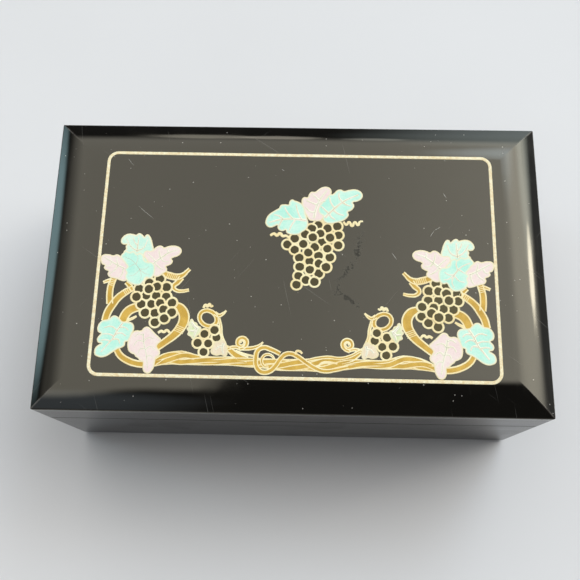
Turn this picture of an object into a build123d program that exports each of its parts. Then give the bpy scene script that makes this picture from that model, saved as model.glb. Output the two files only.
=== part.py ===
from build123d import *
from math import asin, atan2, cos, degrees, hypot, radians, sin
import os

# A hinged lacquer jewelry box: crowned lid, plain upright case, velvet lining, ring rolls and mirror.
# Frame: X across the front, +Y towards the hinges, +Z up, origin on the table under the centre.
# All sizes are in millimetres.

# Outer form
box_width = 230.0
box_depth = 140.0
rim_height = 90.0
crown_rise = 4.3
crown_border = 18.0
lid_depth = 26.0
seam_gap = 0.3
seam_arris = 0.3
corner_radius = 1.2
rim_radius = 1.0
foot_radius = 2.0

# Case
wall = 8.0
felt_thickness = 1.0
felt_inset = 3.0
base_thickness = 4.0
rebate_depth = 3.0
fit_gap = 0.15
pad_thickness = 3.0
pad_gap = 0.3
liner = 2.0
lip_height = 4.0
lip_gap = 0.4
lip_round = 0.7
back_liner_drop = 0.5

# Compartments
divider = 2.5
divider_drop = 12.0
divider_round = 0.9
back_bay_depth = 51.0
front_bay_width = 73.0
ring_bay_width = 60.0
ring_shelf_thickness = 2.5
batten = 5.0
ring_roll_count = 7
ring_roll_height = 17.0
ring_roll_drop = 2.0
ring_roll_gap = 0.4

# Lid
board_edge = 4.0
plug_depth = 2.5
lid_liner = 1.5
lid_liner_gap = 1.0
lining_board = 2.5
lining_gap = 0.2
mirror_end_margin = 30.7
mirror_side_margin = 21.7
mirror_thickness = 2.0
mirror_gap = 0.2
trim_width = 8.0
trim_lap = 1.2
trim_depth = 3.5
trim_chamfer = 1.6

# Hinges
hinge_inset = 48.0
hinge_length = 28.0
hinge_out = 0.65
knuckle_radius = 2.0
knuckle_gap = 0.15
knuckle_relief = 0.3
pin_radius = 0.9
pin_chamfer = 0.3
pin_gap_fixed = 0.03
pin_gap_turning = 0.06
leaf_thickness = 1.0
leaf_margin = 1.4
leaf_screw_spacing = 17.0
screw_radius = 0.95
screw_length = 7.0
screw_head_radius = 1.9
screw_gap = 0.05
slot_width = 0.4
slot_depth = 0.3
open_angle = 100.0

# Lid stay
stay_radius = 28.0
stay_pivot_drop = 8.0
stay_pin_drop = 8.0
stay_thickness = 1.2
stay_width = 5.5
stay_clearance = 0.3
stay_pin_radius = 1.2
stay_slot_gap = 0.2
stay_head_radius = 2.6
stay_head_thickness = 1.0
stay_head_chamfer = 0.4
stay_head_gap = 0.2
stay_collar_radius = 2.4
stay_screw_bite = 6.0

# Heights and faces worked out from the sizes above
case_bottom = felt_thickness
top_height = rim_height + crown_rise
seam_height = rim_height - lid_depth
case_top = seam_height - seam_gap / 2
lid_bottom = seam_height + seam_gap / 2
board_bottom = rim_height - board_edge
plug_bottom = board_bottom - plug_depth
base_top = case_bottom + base_thickness
pad_top = base_top + pad_thickness
divider_top = seam_height - divider_drop
shelf_top = divider_top - ring_roll_drop - ring_roll_height
shelf_bottom = shelf_top - ring_shelf_thickness
lip_top = case_top + lip_height
lining_face = plug_bottom - lining_board
inner_width = box_width - 2 * wall
inner_depth = box_depth - 2 * wall
lid_wall = wall - lip_gap
lid_inner_width = box_width - 2 * lid_wall
lid_inner_depth = box_depth - 2 * lid_wall
lining_width = lid_inner_width - 2 * (lid_liner + lining_gap)
lining_depth = lid_inner_depth - 2 * (lid_liner + lining_gap)
mirror_width = lining_width - 2 * mirror_end_margin
mirror_depth = lining_depth - 2 * mirror_side_margin
room_width = inner_width - 2 * liner
room_depth = inner_depth - 2 * liner
ring_bay_start = -room_width / 2
ring_bay_end = ring_bay_start + ring_bay_width
front_bay_end = ring_bay_end + divider + front_bay_width
back_bay_start = room_depth / 2 - back_bay_depth
hinge_y = box_depth / 2 + hinge_out
hinge_z = seam_height
leaf_front = box_depth / 2 - lid_wall + leaf_margin
leaf_back = hinge_y - knuckle_radius - knuckle_relief

# Where the stay turns on the lid and slides on the case: both lie on one circle about the hinge axis,
# so the arm turns at half the rate of the lid and its slot never leaves the guide screw.
stay_pivot_height = lining_face - stay_pivot_drop
stay_pivot_angle = asin((stay_pivot_height - hinge_z) / stay_radius)
stay_pin_angle = asin(stay_pin_drop / stay_radius)
stay_pivot = (hinge_y - stay_radius * cos(stay_pivot_angle), stay_pivot_height)
stay_pin = (hinge_y - stay_radius * cos(stay_pin_angle), hinge_z - stay_pin_drop)
stay_reach_closed = hypot(stay_pin[0] - stay_pivot[0], stay_pin[1] - stay_pivot[1])
stay_reach_open = 2 * stay_radius * sin((radians(open_angle) + stay_pivot_angle + stay_pin_angle) / 2)
stay_x_outer = room_width / 2 - stay_clearance
stay_x_inner = stay_x_outer - stay_thickness


def block(width, depth, low, high, x=0.0, y=0.0):
    """An upright block centred on x, y between two heights."""
    return Pos(x, y, low) * Box(width, depth, high - low, align=(Align.CENTER, Align.CENTER, Align.MIN))


def rod(radius, low, high, y, z):
    """A cylinder along X between two places, centred on y, z."""
    along = Rot(0, 90, 0) * Cylinder(radius, high - low, align=(Align.CENTER, Align.CENTER, Align.MIN))
    return Pos(low, y, z) * along


def crowned_section(half_width):
    """Section across the closed box: upright sides, rounded foot, and a top that rolls off to the rim."""
    radius = (crown_border**2 + crown_rise**2) / (2 * crown_rise)
    sweep = degrees(asin(crown_border / radius))
    roll = CenterArc((half_width - crown_border, top_height - radius), radius, 90 - sweep, sweep)
    side = Line((half_width, case_bottom), (half_width, rim_height))
    half = [Line((0, case_bottom), (half_width, case_bottom)), side, roll]
    half.append(Line((half_width - crown_border, top_height), (0, top_height)))
    outline = half + [mirror(edge, about=Plane.YZ) for edge in half]
    section = make_face(outline)
    at_rim = [v for v in section.vertices() if abs(v.Y - rim_height) < 0.001]
    section = fillet(at_rim, rim_radius)
    at_foot = [v for v in section.vertices() if abs(v.Y - case_bottom) < 0.001 and abs(v.X) > 1]
    return fillet(at_foot, foot_radius)


def closed_form():
    """The whole box as one block before it is sawn at the seam, with its crown mitred at the corners."""
    along_y = extrude(Plane.XZ * crowned_section(box_width / 2), box_depth, both=True)
    along_x = extrude(Plane.YZ * crowned_section(box_depth / 2), box_width, both=True)
    plan = extrude(RectangleRounded(box_width, box_depth, corner_radius), 2 * rim_height)
    return along_y & along_x & plan


def mitred(ring, width, depth, low, high):
    """Cuts a rectangular ring along its corner mitres into its front, back, left and right members."""
    far = width
    w, d = width / 2, depth / 2
    inner = w - d
    outlines = {
        "front": [(-w - far, -d - far), (w + far, -d - far), (inner, 0), (-inner, 0)],
        "back": [(-w - far, d + far), (-inner, 0), (inner, 0), (w + far, d + far)],
        "left": [(-w - far, -d - far), (-inner, 0), (-w - far, d + far)],
        "right": [(w + far, -d - far), (w + far, d + far), (inner, 0)],
    }
    members = {}
    for side, points in outlines.items():
        wedge = Pos(0, 0, low) * extrude(make_face(Polyline(*points, close=True)), high - low)
        members[side] = ring & wedge
    return members


def hinge_places():
    """Centres of the two hinges along X."""
    reach = box_width / 2 - hinge_inset
    return {"left": -reach, "right": reach}


def leaf_screw_places(x):
    """Centres of the two screws in a hinge leaf."""
    y = (leaf_front + leaf_back) / 2
    return [(x - leaf_screw_spacing / 2, y), (x + leaf_screw_spacing / 2, y)]


def knuckle_spans(x):
    """Ends of a hinge's three knuckles along X: the outer two are the case's, the middle one the lid's."""
    third = hinge_length / 3
    start = x - hinge_length / 2
    half_gap = knuckle_gap / 2
    return [(start + i * third + half_gap, start + (i + 1) * third - half_gap) for i in range(3)]


def leaf_levels(upper):
    """Lower and upper faces of a hinge leaf."""
    if upper:
        return lid_bottom, lid_bottom + leaf_thickness
    return case_top - leaf_thickness, case_top


def hinge_seat(x, upper):
    """The mortise for a leaf in a wall's edge, with the hollow that clears the knuckles."""
    low, high = leaf_levels(upper)
    front, back = leaf_front - fit_gap, box_depth / 2 + knuckle_radius
    mortise = block(hinge_length + 2 * fit_gap, back - front, low, high, x, (front + back) / 2)
    end = hinge_length / 2 + knuckle_relief
    hollow = rod(knuckle_radius + knuckle_relief, x - end, x + end, hinge_y, hinge_z)
    seat = mortise + hollow
    for sx, sy in leaf_screw_places(x):
        seat += screw_pilot(sx, sy, upper)
    return seat


def screw_pilot(x, y, upper):
    """The hole that a hinge screw's shank fills, below its leaf."""
    radius = screw_radius + screw_gap
    low, high = (lid_bottom, lid_bottom + screw_length) if upper else (case_top - screw_length, case_top)
    return Pos(x, y, low) * Cylinder(radius, high - low, align=(Align.CENTER, Align.CENTER, Align.MIN))


def hinge_leaf(x, upper):
    """One leaf of a butt hinge: a plate let into the wall's edge, and the knuckles that it carries."""
    low, high = leaf_levels(upper)
    leaf = block(hinge_length, leaf_back - leaf_front, low, high, x, (leaf_front + leaf_back) / 2)
    spans = knuckle_spans(x)
    own = spans[1:2] if upper else spans[0::2]
    bridge_y = (leaf_back + hinge_y) / 2
    for start, end in own:
        leaf += block(end - start, hinge_y - leaf_back, low, high, (start + end) / 2, bridge_y)
        leaf += rod(knuckle_radius, start, end, hinge_y, hinge_z)
    gap = pin_gap_turning if upper else pin_gap_fixed
    leaf -= rod(pin_radius + gap, x - hinge_length, x + hinge_length, hinge_y, hinge_z)
    for sx, sy in leaf_screw_places(x):
        leaf -= screw(sx, sy, upper, screw_gap)
    return leaf


def hinge_pin(x):
    """The pin through a hinge's knuckles, with its ends bevelled."""
    pin = rod(pin_radius, x - hinge_length / 2, x + hinge_length / 2, hinge_y, hinge_z)
    return chamfer(pin.edges().filter_by(GeomType.CIRCLE), pin_chamfer)


def screw(x, y, upper, grow=0.0):
    """A slotted countersunk screw in a hinge leaf; grow makes the hole through the leaf instead."""
    downwards = (Align.CENTER, Align.CENTER, Align.MAX)
    body = Cone(screw_radius + grow, screw_head_radius + grow, leaf_thickness, align=downwards)
    if not grow:
        shank = Cylinder(screw_radius, screw_length - leaf_thickness, align=downwards)
        body += Pos(0, 0, -leaf_thickness) * shank
        body -= Box(2 * screw_head_radius, slot_width, 2 * slot_depth)
    if upper:
        return Pos(x, y, lid_bottom) * Rot(180, 0, 0) * body
    return Pos(x, y, case_top) * body


def stay_screw(wall_face, collar):
    """The shouldered screw that the stay turns or slides on, along X from its head to the wood."""
    head_inner = stay_x_inner - stay_head_gap
    head_outer = head_inner - stay_head_thickness
    head = rod(stay_head_radius, head_outer, head_inner, 0, 0)
    head = chamfer(head.edges().group_by(Axis.X)[0], stay_head_chamfer)
    body = head + rod(stay_pin_radius, head_inner, wall_face, 0, 0)
    body += rod(screw_radius, wall_face, wall_face + stay_screw_bite, 0, 0)
    if collar:
        body += rod(stay_collar_radius, stay_x_outer + stay_head_gap, wall_face, 0, 0)
    return body - Pos(head_outer, 0, 0) * Box(2 * slot_depth, 2 * stay_head_radius, slot_width)


def case_walls():
    """The four mitred walls of the case, rebated for the base, with the seats of hinges and guide screw."""
    form = closed_form() & block(2 * box_width, 2 * box_depth, case_bottom, case_top)
    ring = chamfer(form.edges().group_by(Axis.Z)[-1], seam_arris)
    ring -= block(inner_width, inner_depth, case_bottom, case_top)
    ring -= block(inner_width + 2 * rebate_depth, inner_depth + 2 * rebate_depth, case_bottom, base_top)
    walls = mitred(ring, box_width, box_depth, case_bottom, case_top)
    for x in hinge_places().values():
        walls["back"] -= hinge_seat(x, upper=False)
    face = room_width / 2
    walls["right"] -= rod(screw_radius + screw_gap, face, face + stay_screw_bite, *stay_pin)
    return walls


def base_panel():
    """The plywood bottom, let into the rebate of the four walls."""
    reach = 2 * (rebate_depth - fit_gap)
    return block(inner_width + reach, inner_depth + reach, case_bottom, base_top)


def base_felt():
    """The felt sheet under the case that it stands on."""
    sheet = RectangleRounded(box_width - 2 * felt_inset, box_depth - 2 * felt_inset, felt_inset)
    return extrude(sheet, felt_thickness)


def round_top(board, radius, thickness):
    """Rounds over the upper edges of a thin covered board."""
    return fillet(board.edges().group_by(Axis.Z)[-1], min(radius, 0.45 * thickness))


def case_liners():
    """Velvet-covered liners on the walls; all but the back one rise above the seam to steady the lid."""
    side_x = (inner_width - liner) / 2
    end_y = (inner_depth - liner) / 2
    boards = {
        "left": block(liner, inner_depth, base_top, lip_top, -side_x, 0),
        "right": block(liner, inner_depth, base_top, lip_top, side_x, 0),
        "front": block(room_width, liner, base_top, lip_top, 0, -end_y),
        "back": block(room_width, liner, base_top, case_top - back_liner_drop, 0, end_y),
    }
    liners = {side: round_top(board, lip_round, liner) for side, board in boards.items()}
    liners["right"] -= rod(screw_radius + screw_gap, 0, box_width, *stay_pin)
    return liners


def floor_pad():
    """The padded velvet floor inside the liners."""
    return block(room_width - 2 * pad_gap, room_depth - 2 * pad_gap, base_top, pad_top)


def dividers():
    """Covered partitions: beside the ring rolls, along the middle, and across the front."""
    low, high = pad_top, divider_top
    long_start, long_end = ring_bay_end + divider, room_width / 2
    cross_start, cross_end = -room_depth / 2, back_bay_start - divider
    long_x, cross_y = (long_start + long_end) / 2, (cross_start + cross_end) / 2
    long_y, cross_x = back_bay_start - divider / 2, front_bay_end + divider / 2
    boards = {
        "ring": block(divider, room_depth, low, high, ring_bay_end + divider / 2, 0),
        "long": block(long_end - long_start, divider, low, high, long_x, long_y),
        "cross": block(divider, cross_end - cross_start, low, high, cross_x, cross_y),
    }
    return {name: round_top(board, divider_round, divider) for name, board in boards.items()}


def ring_shelf():
    """The board that lifts the ring rolls to the height of the partitions."""
    middle = (ring_bay_start + ring_bay_end) / 2
    return block(ring_bay_width, room_depth, shelf_bottom, shelf_top, middle, 0)


def shelf_battens():
    """Two battens on the floor that carry the ring shelf."""
    middle = (ring_bay_start + ring_bay_end) / 2
    y = (room_depth - batten) / 2
    return {
        "front": block(ring_bay_width, batten, pad_top, shelf_bottom, middle, -y),
        "back": block(ring_bay_width, batten, pad_top, shelf_bottom, middle, y),
    }


def ring_rolls():
    """Padded rolls that hold rings between them, flat below and round on top."""
    pitch = room_depth / ring_roll_count
    half = (pitch - ring_roll_gap) / 2
    straight = ring_roll_height - half
    outline = [
        Line((-half, 0), (half, 0)),
        Line((half, 0), (half, straight)),
        CenterArc((0, straight), half, 0, 180),
        Line((-half, straight), (-half, 0)),
    ]
    roll = extrude(Plane.YZ * make_face(outline), ring_bay_width - 2 * ring_roll_gap)
    x = ring_bay_start + ring_roll_gap
    first = -room_depth / 2 + pitch / 2
    return [Pos(x, first + i * pitch, shelf_top) * roll for i in range(ring_roll_count)]


def lid_rails():
    """The four mitred sides of the lid below its top board, with the seats of hinges and stay."""
    form = closed_form() & block(2 * box_width, 2 * box_depth, lid_bottom, board_bottom)
    ring = chamfer(form.edges().group_by(Axis.Z)[0], seam_arris)
    ring -= block(lid_inner_width, lid_inner_depth, lid_bottom, board_bottom)
    rails = mitred(ring, box_width, box_depth, lid_bottom, board_bottom)
    for x in hinge_places().values():
        rails["back"] -= hinge_seat(x, upper=True)
    face = lid_inner_width / 2 - lid_liner
    rails["right"] -= rod(screw_radius + screw_gap, face, face + stay_screw_bite, *stay_pivot)
    return rails


def lid_top_board():
    """The crowned top board, with a plug on its underside that locates it in the rails."""
    board = closed_form() & block(2 * box_width, 2 * box_depth, board_bottom, 2 * rim_height)
    plug = block(lid_inner_width - 2 * fit_gap, lid_inner_depth - 2 * fit_gap, plug_bottom, board_bottom)
    return board + plug


def lid_liners():
    """Velvet-covered liners inside the lid, above the lip of the case."""
    low, high = lip_top + lid_liner_gap, plug_bottom
    side_x = (lid_inner_width - lid_liner) / 2
    end_y = (lid_inner_depth - lid_liner) / 2
    length = lid_inner_width - 2 * lid_liner
    liners = {
        "left": block(lid_liner, lid_inner_depth, low, high, -side_x, 0),
        "right": block(lid_liner, lid_inner_depth, low, high, side_x, 0),
        "front": block(length, lid_liner, low, high, 0, -end_y),
        "back": block(length, lid_liner, low, high, 0, end_y),
    }
    liners["right"] -= rod(screw_radius + screw_gap, 0, box_width, *stay_pivot)
    return liners


def lid_lining_board():
    """The velvet-covered board that backs the mirror."""
    return block(lining_width, lining_depth, lining_face, plug_bottom)


def mirror_glass():
    """The mirror under the lid."""
    return block(mirror_width, mirror_depth, lining_face - mirror_thickness, lining_face)


def mirror_trims():
    """Four mitred gilt mouldings that lap over the edge of the mirror and hold it."""
    width = mirror_width + 2 * (trim_width - trim_lap)
    depth = mirror_depth + 2 * (trim_width - trim_lap)
    low = lining_face - trim_depth
    ring = block(width, depth, low, lining_face)
    ring = chamfer(ring.edges().group_by(Axis.Z)[0], trim_chamfer)
    window = block(mirror_width - 2 * trim_lap, mirror_depth - 2 * trim_lap, low, lining_face)
    seat_width, seat_depth = mirror_width + 2 * mirror_gap, mirror_depth + 2 * mirror_gap
    seat = block(seat_width, seat_depth, lining_face - mirror_thickness, lining_face)
    return mitred(ring - window - seat, width, depth, low, lining_face)


def stay_arm():
    """The slotted brass arm that stops the lid, drawn down from its pivot and leaned to its guide screw."""
    end = stay_width / 2
    length = stay_reach_open - stay_reach_closed
    hole = stay_pin_radius + stay_slot_gap
    middle = -(stay_reach_open + stay_reach_closed) / 2
    outline = Pos(0, -stay_reach_open / 2) * Rot(0, 0, 90) * SlotCenterToCenter(stay_reach_open, 2 * end)
    outline -= Circle(hole)
    outline -= Pos(0, middle) * Rot(0, 0, 90) * SlotCenterToCenter(length, 2 * hole)
    plate = extrude(Plane.YZ * outline, stay_thickness)
    lean = degrees(atan2(stay_pin[0] - stay_pivot[0], stay_pivot[1] - stay_pin[1]))
    return Pos(stay_x_inner, *stay_pivot) * Rot(lean, 0, 0) * plate


def group(solids):
    """Several like pieces in one node."""
    return Compound(children=list(solids))


def build():
    """Every sub-part of the box, by node name."""
    nodes = {f"{side}_wall": solid for side, solid in case_walls().items()}
    nodes["base_panel"] = base_panel()
    nodes["base_felt"] = base_felt()
    nodes["floor_pad"] = floor_pad()
    nodes.update({f"liner_{side}": solid for side, solid in case_liners().items()})
    nodes.update({f"divider_{name}": solid for name, solid in dividers().items()})
    nodes["ring_shelf"] = ring_shelf()
    nodes.update({f"shelf_batten_{side}": solid for side, solid in shelf_battens().items()})
    nodes.update({f"ring_roll_{i + 1}": solid for i, solid in enumerate(ring_rolls())})
    nodes["lid_top_board"] = lid_top_board()
    nodes.update({f"lid_{side}_rail": solid for side, solid in lid_rails().items()})
    nodes.update({f"lid_liner_{side}": solid for side, solid in lid_liners().items()})
    nodes["lid_lining_board"] = lid_lining_board()
    nodes["mirror_glass"] = mirror_glass()
    nodes.update({f"mirror_trim_{side}": solid for side, solid in mirror_trims().items()})
    lower_screws, upper_screws = [], []
    for side, x in hinge_places().items():
        nodes[f"hinge_leaf_lower_{side}"] = hinge_leaf(x, upper=False)
        nodes[f"hinge_leaf_upper_{side}"] = hinge_leaf(x, upper=True)
        nodes[f"hinge_pin_{side}"] = hinge_pin(x)
        lower_screws += [screw(sx, sy, False) for sx, sy in leaf_screw_places(x)]
        upper_screws += [screw(sx, sy, True) for sx, sy in leaf_screw_places(x)]
    nodes["hinge_screws_lower"] = group(lower_screws)
    nodes["hinge_screws_upper"] = group(upper_screws)
    nodes["stay_arm"] = stay_arm()
    nodes["stay_guide_screw"] = Pos(0, *stay_pin) * stay_screw(room_width / 2, collar=False)
    lid_face = lid_inner_width / 2 - lid_liner
    nodes["stay_pivot_screw"] = Pos(0, *stay_pivot) * stay_screw(lid_face, collar=True)
    return nodes


os.makedirs("parts", exist_ok=True)
for name, shape in build().items():
    export_step(shape, f"parts/{name}.step")
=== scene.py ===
# %% [markdown]
# A black lacquered jewelry box with a painted grape vine on its lid.
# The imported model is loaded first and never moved: every finish and every added piece is laid on it.
# All lengths are in metres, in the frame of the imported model, and MM turns millimetres into them.

# %% Load the frame
import math

import bmesh
import bpy
from mathutils import Matrix, Vector


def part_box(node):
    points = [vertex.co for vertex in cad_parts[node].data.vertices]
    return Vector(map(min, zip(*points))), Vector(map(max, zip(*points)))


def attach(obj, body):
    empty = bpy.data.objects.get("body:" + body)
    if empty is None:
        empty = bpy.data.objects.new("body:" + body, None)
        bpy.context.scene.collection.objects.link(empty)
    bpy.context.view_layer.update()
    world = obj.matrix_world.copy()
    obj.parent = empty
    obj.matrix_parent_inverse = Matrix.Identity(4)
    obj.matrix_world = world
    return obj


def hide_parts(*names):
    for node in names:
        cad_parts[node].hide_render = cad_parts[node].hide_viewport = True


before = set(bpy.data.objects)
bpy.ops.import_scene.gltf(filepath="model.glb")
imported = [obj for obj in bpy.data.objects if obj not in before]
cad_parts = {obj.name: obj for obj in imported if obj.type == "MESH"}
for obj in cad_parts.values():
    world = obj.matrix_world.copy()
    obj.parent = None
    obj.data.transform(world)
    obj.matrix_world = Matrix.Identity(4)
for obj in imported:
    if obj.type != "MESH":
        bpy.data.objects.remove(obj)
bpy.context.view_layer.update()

MM = 0.001
scene = bpy.context.scene
scene.view_settings.view_transform = "Standard"
print("solids loaded:", len(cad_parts))

# %% [markdown]
# The box is seen from above its front edge, a little from the right, with the camera slightly tilted.
# A camera can be aimed with a constraint or with angles. Here its three axes are worked out from the
# measured angles, because that places it exactly and leaves nothing live in the scene.

# %% Camera
camera_place = Vector((4.2, -114.47, 424.4)) * MM
camera_elevation = math.radians(73.123)
camera_azimuth = math.radians(-3.36)
camera_roll = math.radians(-2.282)

forward = Vector((math.sin(camera_azimuth) * math.cos(camera_elevation),
                  math.cos(camera_azimuth) * math.cos(camera_elevation),
                  -math.sin(camera_elevation)))
level = Vector((math.cos(camera_azimuth), -math.sin(camera_azimuth), 0))
upward = level.cross(forward)
right_axis = level * math.cos(camera_roll) + upward * math.sin(camera_roll)
up_axis = upward * math.cos(camera_roll) - level * math.sin(camera_roll)

camera = bpy.data.objects.new("camera", bpy.data.cameras.new("camera"))
camera.data.sensor_width = 36
camera.data.lens = 47.32
camera.data.clip_start = 0.01
turn = Matrix((right_axis, up_axis, -forward)).transposed().to_4x4()
camera.matrix_world = Matrix.Translation(camera_place) @ turn
scene.collection.objects.link(camera)
scene.camera = camera
print("camera at", [round(c, 3) for c in camera_place])

# %% [markdown]
# Node trees are long to write out, so helpers keep them short. An Out is one output of a node. Arithmetic
# on Outs adds Math nodes, so that a rule reads like a formula, and out["Name"] is another output of the
# same node. In the names of inputs, _ stands for a space.

# %% Node helpers
class Out:
    """One output of a node. Sums and products add Math nodes, and indexing gives another output."""

    def __init__(self, node, which=0):
        self.node, self.which, self.tree = node, which, node.id_data

    def __getitem__(self, which):
        return Out(self.node, which)

    def __iter__(self):
        return (self[k] for k in range(len(self.node.outputs)))

    def __add__(self, other):
        return calc("ADD", self, other)

    def __sub__(self, other):
        return calc("SUBTRACT", self, other)

    def __rsub__(self, other):
        return calc("SUBTRACT", other, self)

    def __mul__(self, other):
        return calc("MULTIPLY", self, other)

    def __truediv__(self, other):
        return calc("DIVIDE", self, other)

    def __rtruediv__(self, other):
        return calc("DIVIDE", other, self)

    def __abs__(self):
        return calc("ABSOLUTE", self)


def feed(node, *values, **named):
    """Links Outs to a node's inputs and sets other values, in order or by name; None skips an input."""
    by_name = {label.replace("_", " "): value for label, value in named.items()}
    for which, value in [*enumerate(values), *by_name.items()]:
        if isinstance(value, Out):
            node.id_data.links.new(value.node.outputs[value.which], node.inputs[which])
        elif value is not None:
            node.inputs[which].default_value = value


def add(tree, kind, *values, **named):
    """Adds a node, its kind given without its family. Lower-case names are settings, the rest are inputs."""
    family = next(f for f in ("ShaderNode", "GeometryNode", "FunctionNode") if hasattr(bpy.types, f + kind))
    node = tree.nodes.new(family + kind)
    for name in [name for name in named if name.islower()]:
        setattr(node, name, named.pop(name))
    feed(node, *values, **named)
    return Out(node)


def use_group(tree, group, **inputs):
    """Adds a group to a shader tree or a geometry tree."""
    node = tree.nodes.new(tree.bl_idname.replace("Tree", "Group"))
    node.node_tree = group
    feed(node, **inputs)
    return Out(node)


def calc(operation, first, second=0.0):
    """Adds a Math node to the tree that its values come from."""
    tree = first.tree if isinstance(first, Out) else second.tree
    return add(tree, "Math", first, second, operation=operation)


def vector_calc(operation, first, second=None, **named):
    """Adds a Vector Math node to the tree of its first value."""
    return add(first.tree, "VectorMath", first, second, operation=operation, **named)


def ramp(value, low, high, to_low=0.0, to_high=1.0):
    """A smooth step from to_low to to_high as value goes from low to high."""
    return add(value.tree, "MapRange", value, low, high, to_low, to_high, interpolation_type="SMOOTHSTEP")


def noise(place, scale, detail, distortion=0.0):
    """Noise between 0 and 1 at a place."""
    return add(place.tree, "TexNoise", Vector=place, Scale=scale, Detail=detail, Distortion=distortion)


def blend(share, first, second):
    """The first colour where share is 0 and the second where it is 1."""
    colours = [value if isinstance(value, Out) else (*value, 1) for value in (first, second)]
    return add(share.tree, "Mix", share, *[None] * 5, *colours, data_type="RGBA")[2]


def new_tree(name, kind, inputs, outputs):
    """An empty tree. An input is given by its value or its kind. Returns the tree, its inputs and its end."""
    tree = bpy.data.node_groups.new(name, kind)
    kinds = {float: "Float", int: "Int", tuple: "Vector"}
    for label, value in inputs.items():
        socket = value if isinstance(value, str) else kinds[type(value)]
        item = tree.interface.new_socket(name=label.replace("_", " "), in_out="INPUT",
                                         socket_type="NodeSocket" + socket)
        if socket != value:
            item.default_value = value
    for label in outputs:
        socket = label if label in ("Geometry", "Color") else "Float"
        tree.interface.new_socket(name=label, in_out="OUTPUT", socket_type="NodeSocket" + socket)
    return tree, Out(tree.nodes.new("NodeGroupInput")), tree.nodes.new("NodeGroupOutput")


def shader_group(name, outputs, **inputs):
    """An empty shader group that starts from a place."""
    return new_tree(name, "ShaderNodeTree", {"Vector": "Vector", **inputs}, outputs)


def geometry_tree(name, **inputs):
    """An empty Geometry Nodes tree that turns one geometry into another."""
    return new_tree(name, "GeometryNodeTree", {"Geometry": "Geometry", **inputs}, ["Geometry"])


def done(sink, *values, **outputs):
    """Feeds the end of a tree, prints what the tree holds and returns it."""
    feed(sink, *values, **outputs)
    tree = sink.id_data
    print("node tree:", tree.name, len(tree.nodes), "nodes")
    return tree


# %% [markdown]
# Black gloss shows almost nothing but its surroundings, so the light matters more here than the colour.
# The real box lay under a bright ceiling behind it, brighter to the right, with a dark room in front. On
# the left the ceiling reached nearer, in two steps, so the dark of the front border is lower there.
# Lamps would show as hard rectangles in the lacquer. A world that grows brighter with direction gives the
# same soft glow on the flat and on the sloping borders, and lights pale things to their own colour.
# Each glow below is a soft disc of sky: its direction, the angles where it is full and where it has faded,
# its strength and its tint.

# %% Studio light
world = bpy.data.worlds.new("studio")
scene.world = world
world.use_nodes = True
sky = world.node_tree
sky.nodes.clear()
look = add(sky, "TexCoord")["Generated"]
east, north, height = add(sky, "SeparateXYZ", look)

nearer_on_the_left = ramp(east, -0.095, -0.125, 0.0, 0.30) + ramp(east, -0.20, -0.30, 0.0, 0.15)
nearer_on_the_left *= ramp(east, -0.44, -0.34)
behind = ramp(north + nearer_on_the_left, -0.09, 0.09)
overhead = ramp(height, 0.44, 0.60)
from_left = ramp(east, -0.78, -0.48, 0.25, 1.0)
to_right = ramp(east, -0.05, 0.36, 1.53, 2.35)
ceiling = behind * overhead * from_left * to_right
front_room = ramp(north, -0.80, -0.93, 0.0, 0.28)
horizon = ramp(abs(height), 0.12, 0.03, 0.0, 0.45)
least_light = 0.06
dome = (ceiling + front_room) + (horizon + least_light)
glow = add(sky, "CombineXYZ", dome, dome, dome)
soft_glows = [
    ((-0.89, 0.32, 0.34), 5, 12, 3.2, (0.50, 0.80, 1.0)),
    ((-0.36, -0.52, 0.78), 5, 16, 0.5, (0.74, 0.90, 1.2)),
    ((0.62, 0.32, 0.72), 6, 20, 1.4, (1.0, 0.99, 0.95)),
    ((0.70, 0.46, 0.55), 3, 11, 1.7, (0.80, 0.94, 1.0)),
    ((0.36, 0.58, 0.73), 5, 14, 2.5, (0.72, 0.92, 1.2)),
    ((0.42, 0.84, 0.35), 3, 24, 1.85, (0.80, 0.96, 1.08)),
    ((0.92, 0.25, 0.28), 8, 22, 0.3, (0.90, 0.97, 1.1)),
    ((0.752, 0.30, 0.587), 1.6, 4.2, 11.0, (1.0, 0.96, 0.88)),
    ((-0.13, 0.87, 0.46), 1.6, 4.6, 2.0, (1.0, 0.98, 0.93)),
    ((-0.035, 0.87, 0.47), 1.4, 3.8, 2.4, (1.0, 0.97, 0.95)),
    ((0.09, 0.87, 0.49), 0.8, 2.8, 1.6, (0.95, 0.98, 1.0)),
]
for direction, full, faded, power, tint in soft_glows:
    near = vector_calc("DOT_PRODUCT", look, Vector(direction).normalized())["Value"]
    share = ramp(near, math.cos(math.radians(faded)), math.cos(math.radians(full)), 0.0, power)
    patch = add(sky, "VectorMath", tint, operation="SCALE", Scale=share)
    glow = vector_calc("ADD", glow, patch)
seen = add(sky, "LightPath")["Is Camera Ray"]
backdrop = (0.92, 0.92, 0.92)
colour = add(sky, "Mix", seen, None, None, None, glow, backdrop, data_type="VECTOR")[1]
add(sky, "OutputWorld", Surface=add(sky, "Background", Color=colour, Strength=1.0))
print("studio light:", len(soft_glows), "glows")

# %% [markdown]
# Every finish starts from the Principled shader. Its pattern reads Object coordinates, which are the same
# as places in the frame, because every piece keeps its object at the origin.

# %% Material helper
def new_finish(name, **plain):
    """A material with a Principled shader; returns it, the shader and its Object coordinates."""
    finish = bpy.data.materials.new(name)
    finish.use_nodes = True
    shader = finish.node_tree.nodes["Principled BSDF"]
    feed(shader, **plain)
    return finish, shader, add(finish.node_tree, "TexCoord")["Object"]


def bumped(shader, height, strength, distance):
    """Feeds a height to the shader as a bump."""
    feed(shader, Normal=add(height.tree, "Bump", Height=height, Strength=strength, Distance=distance))
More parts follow.
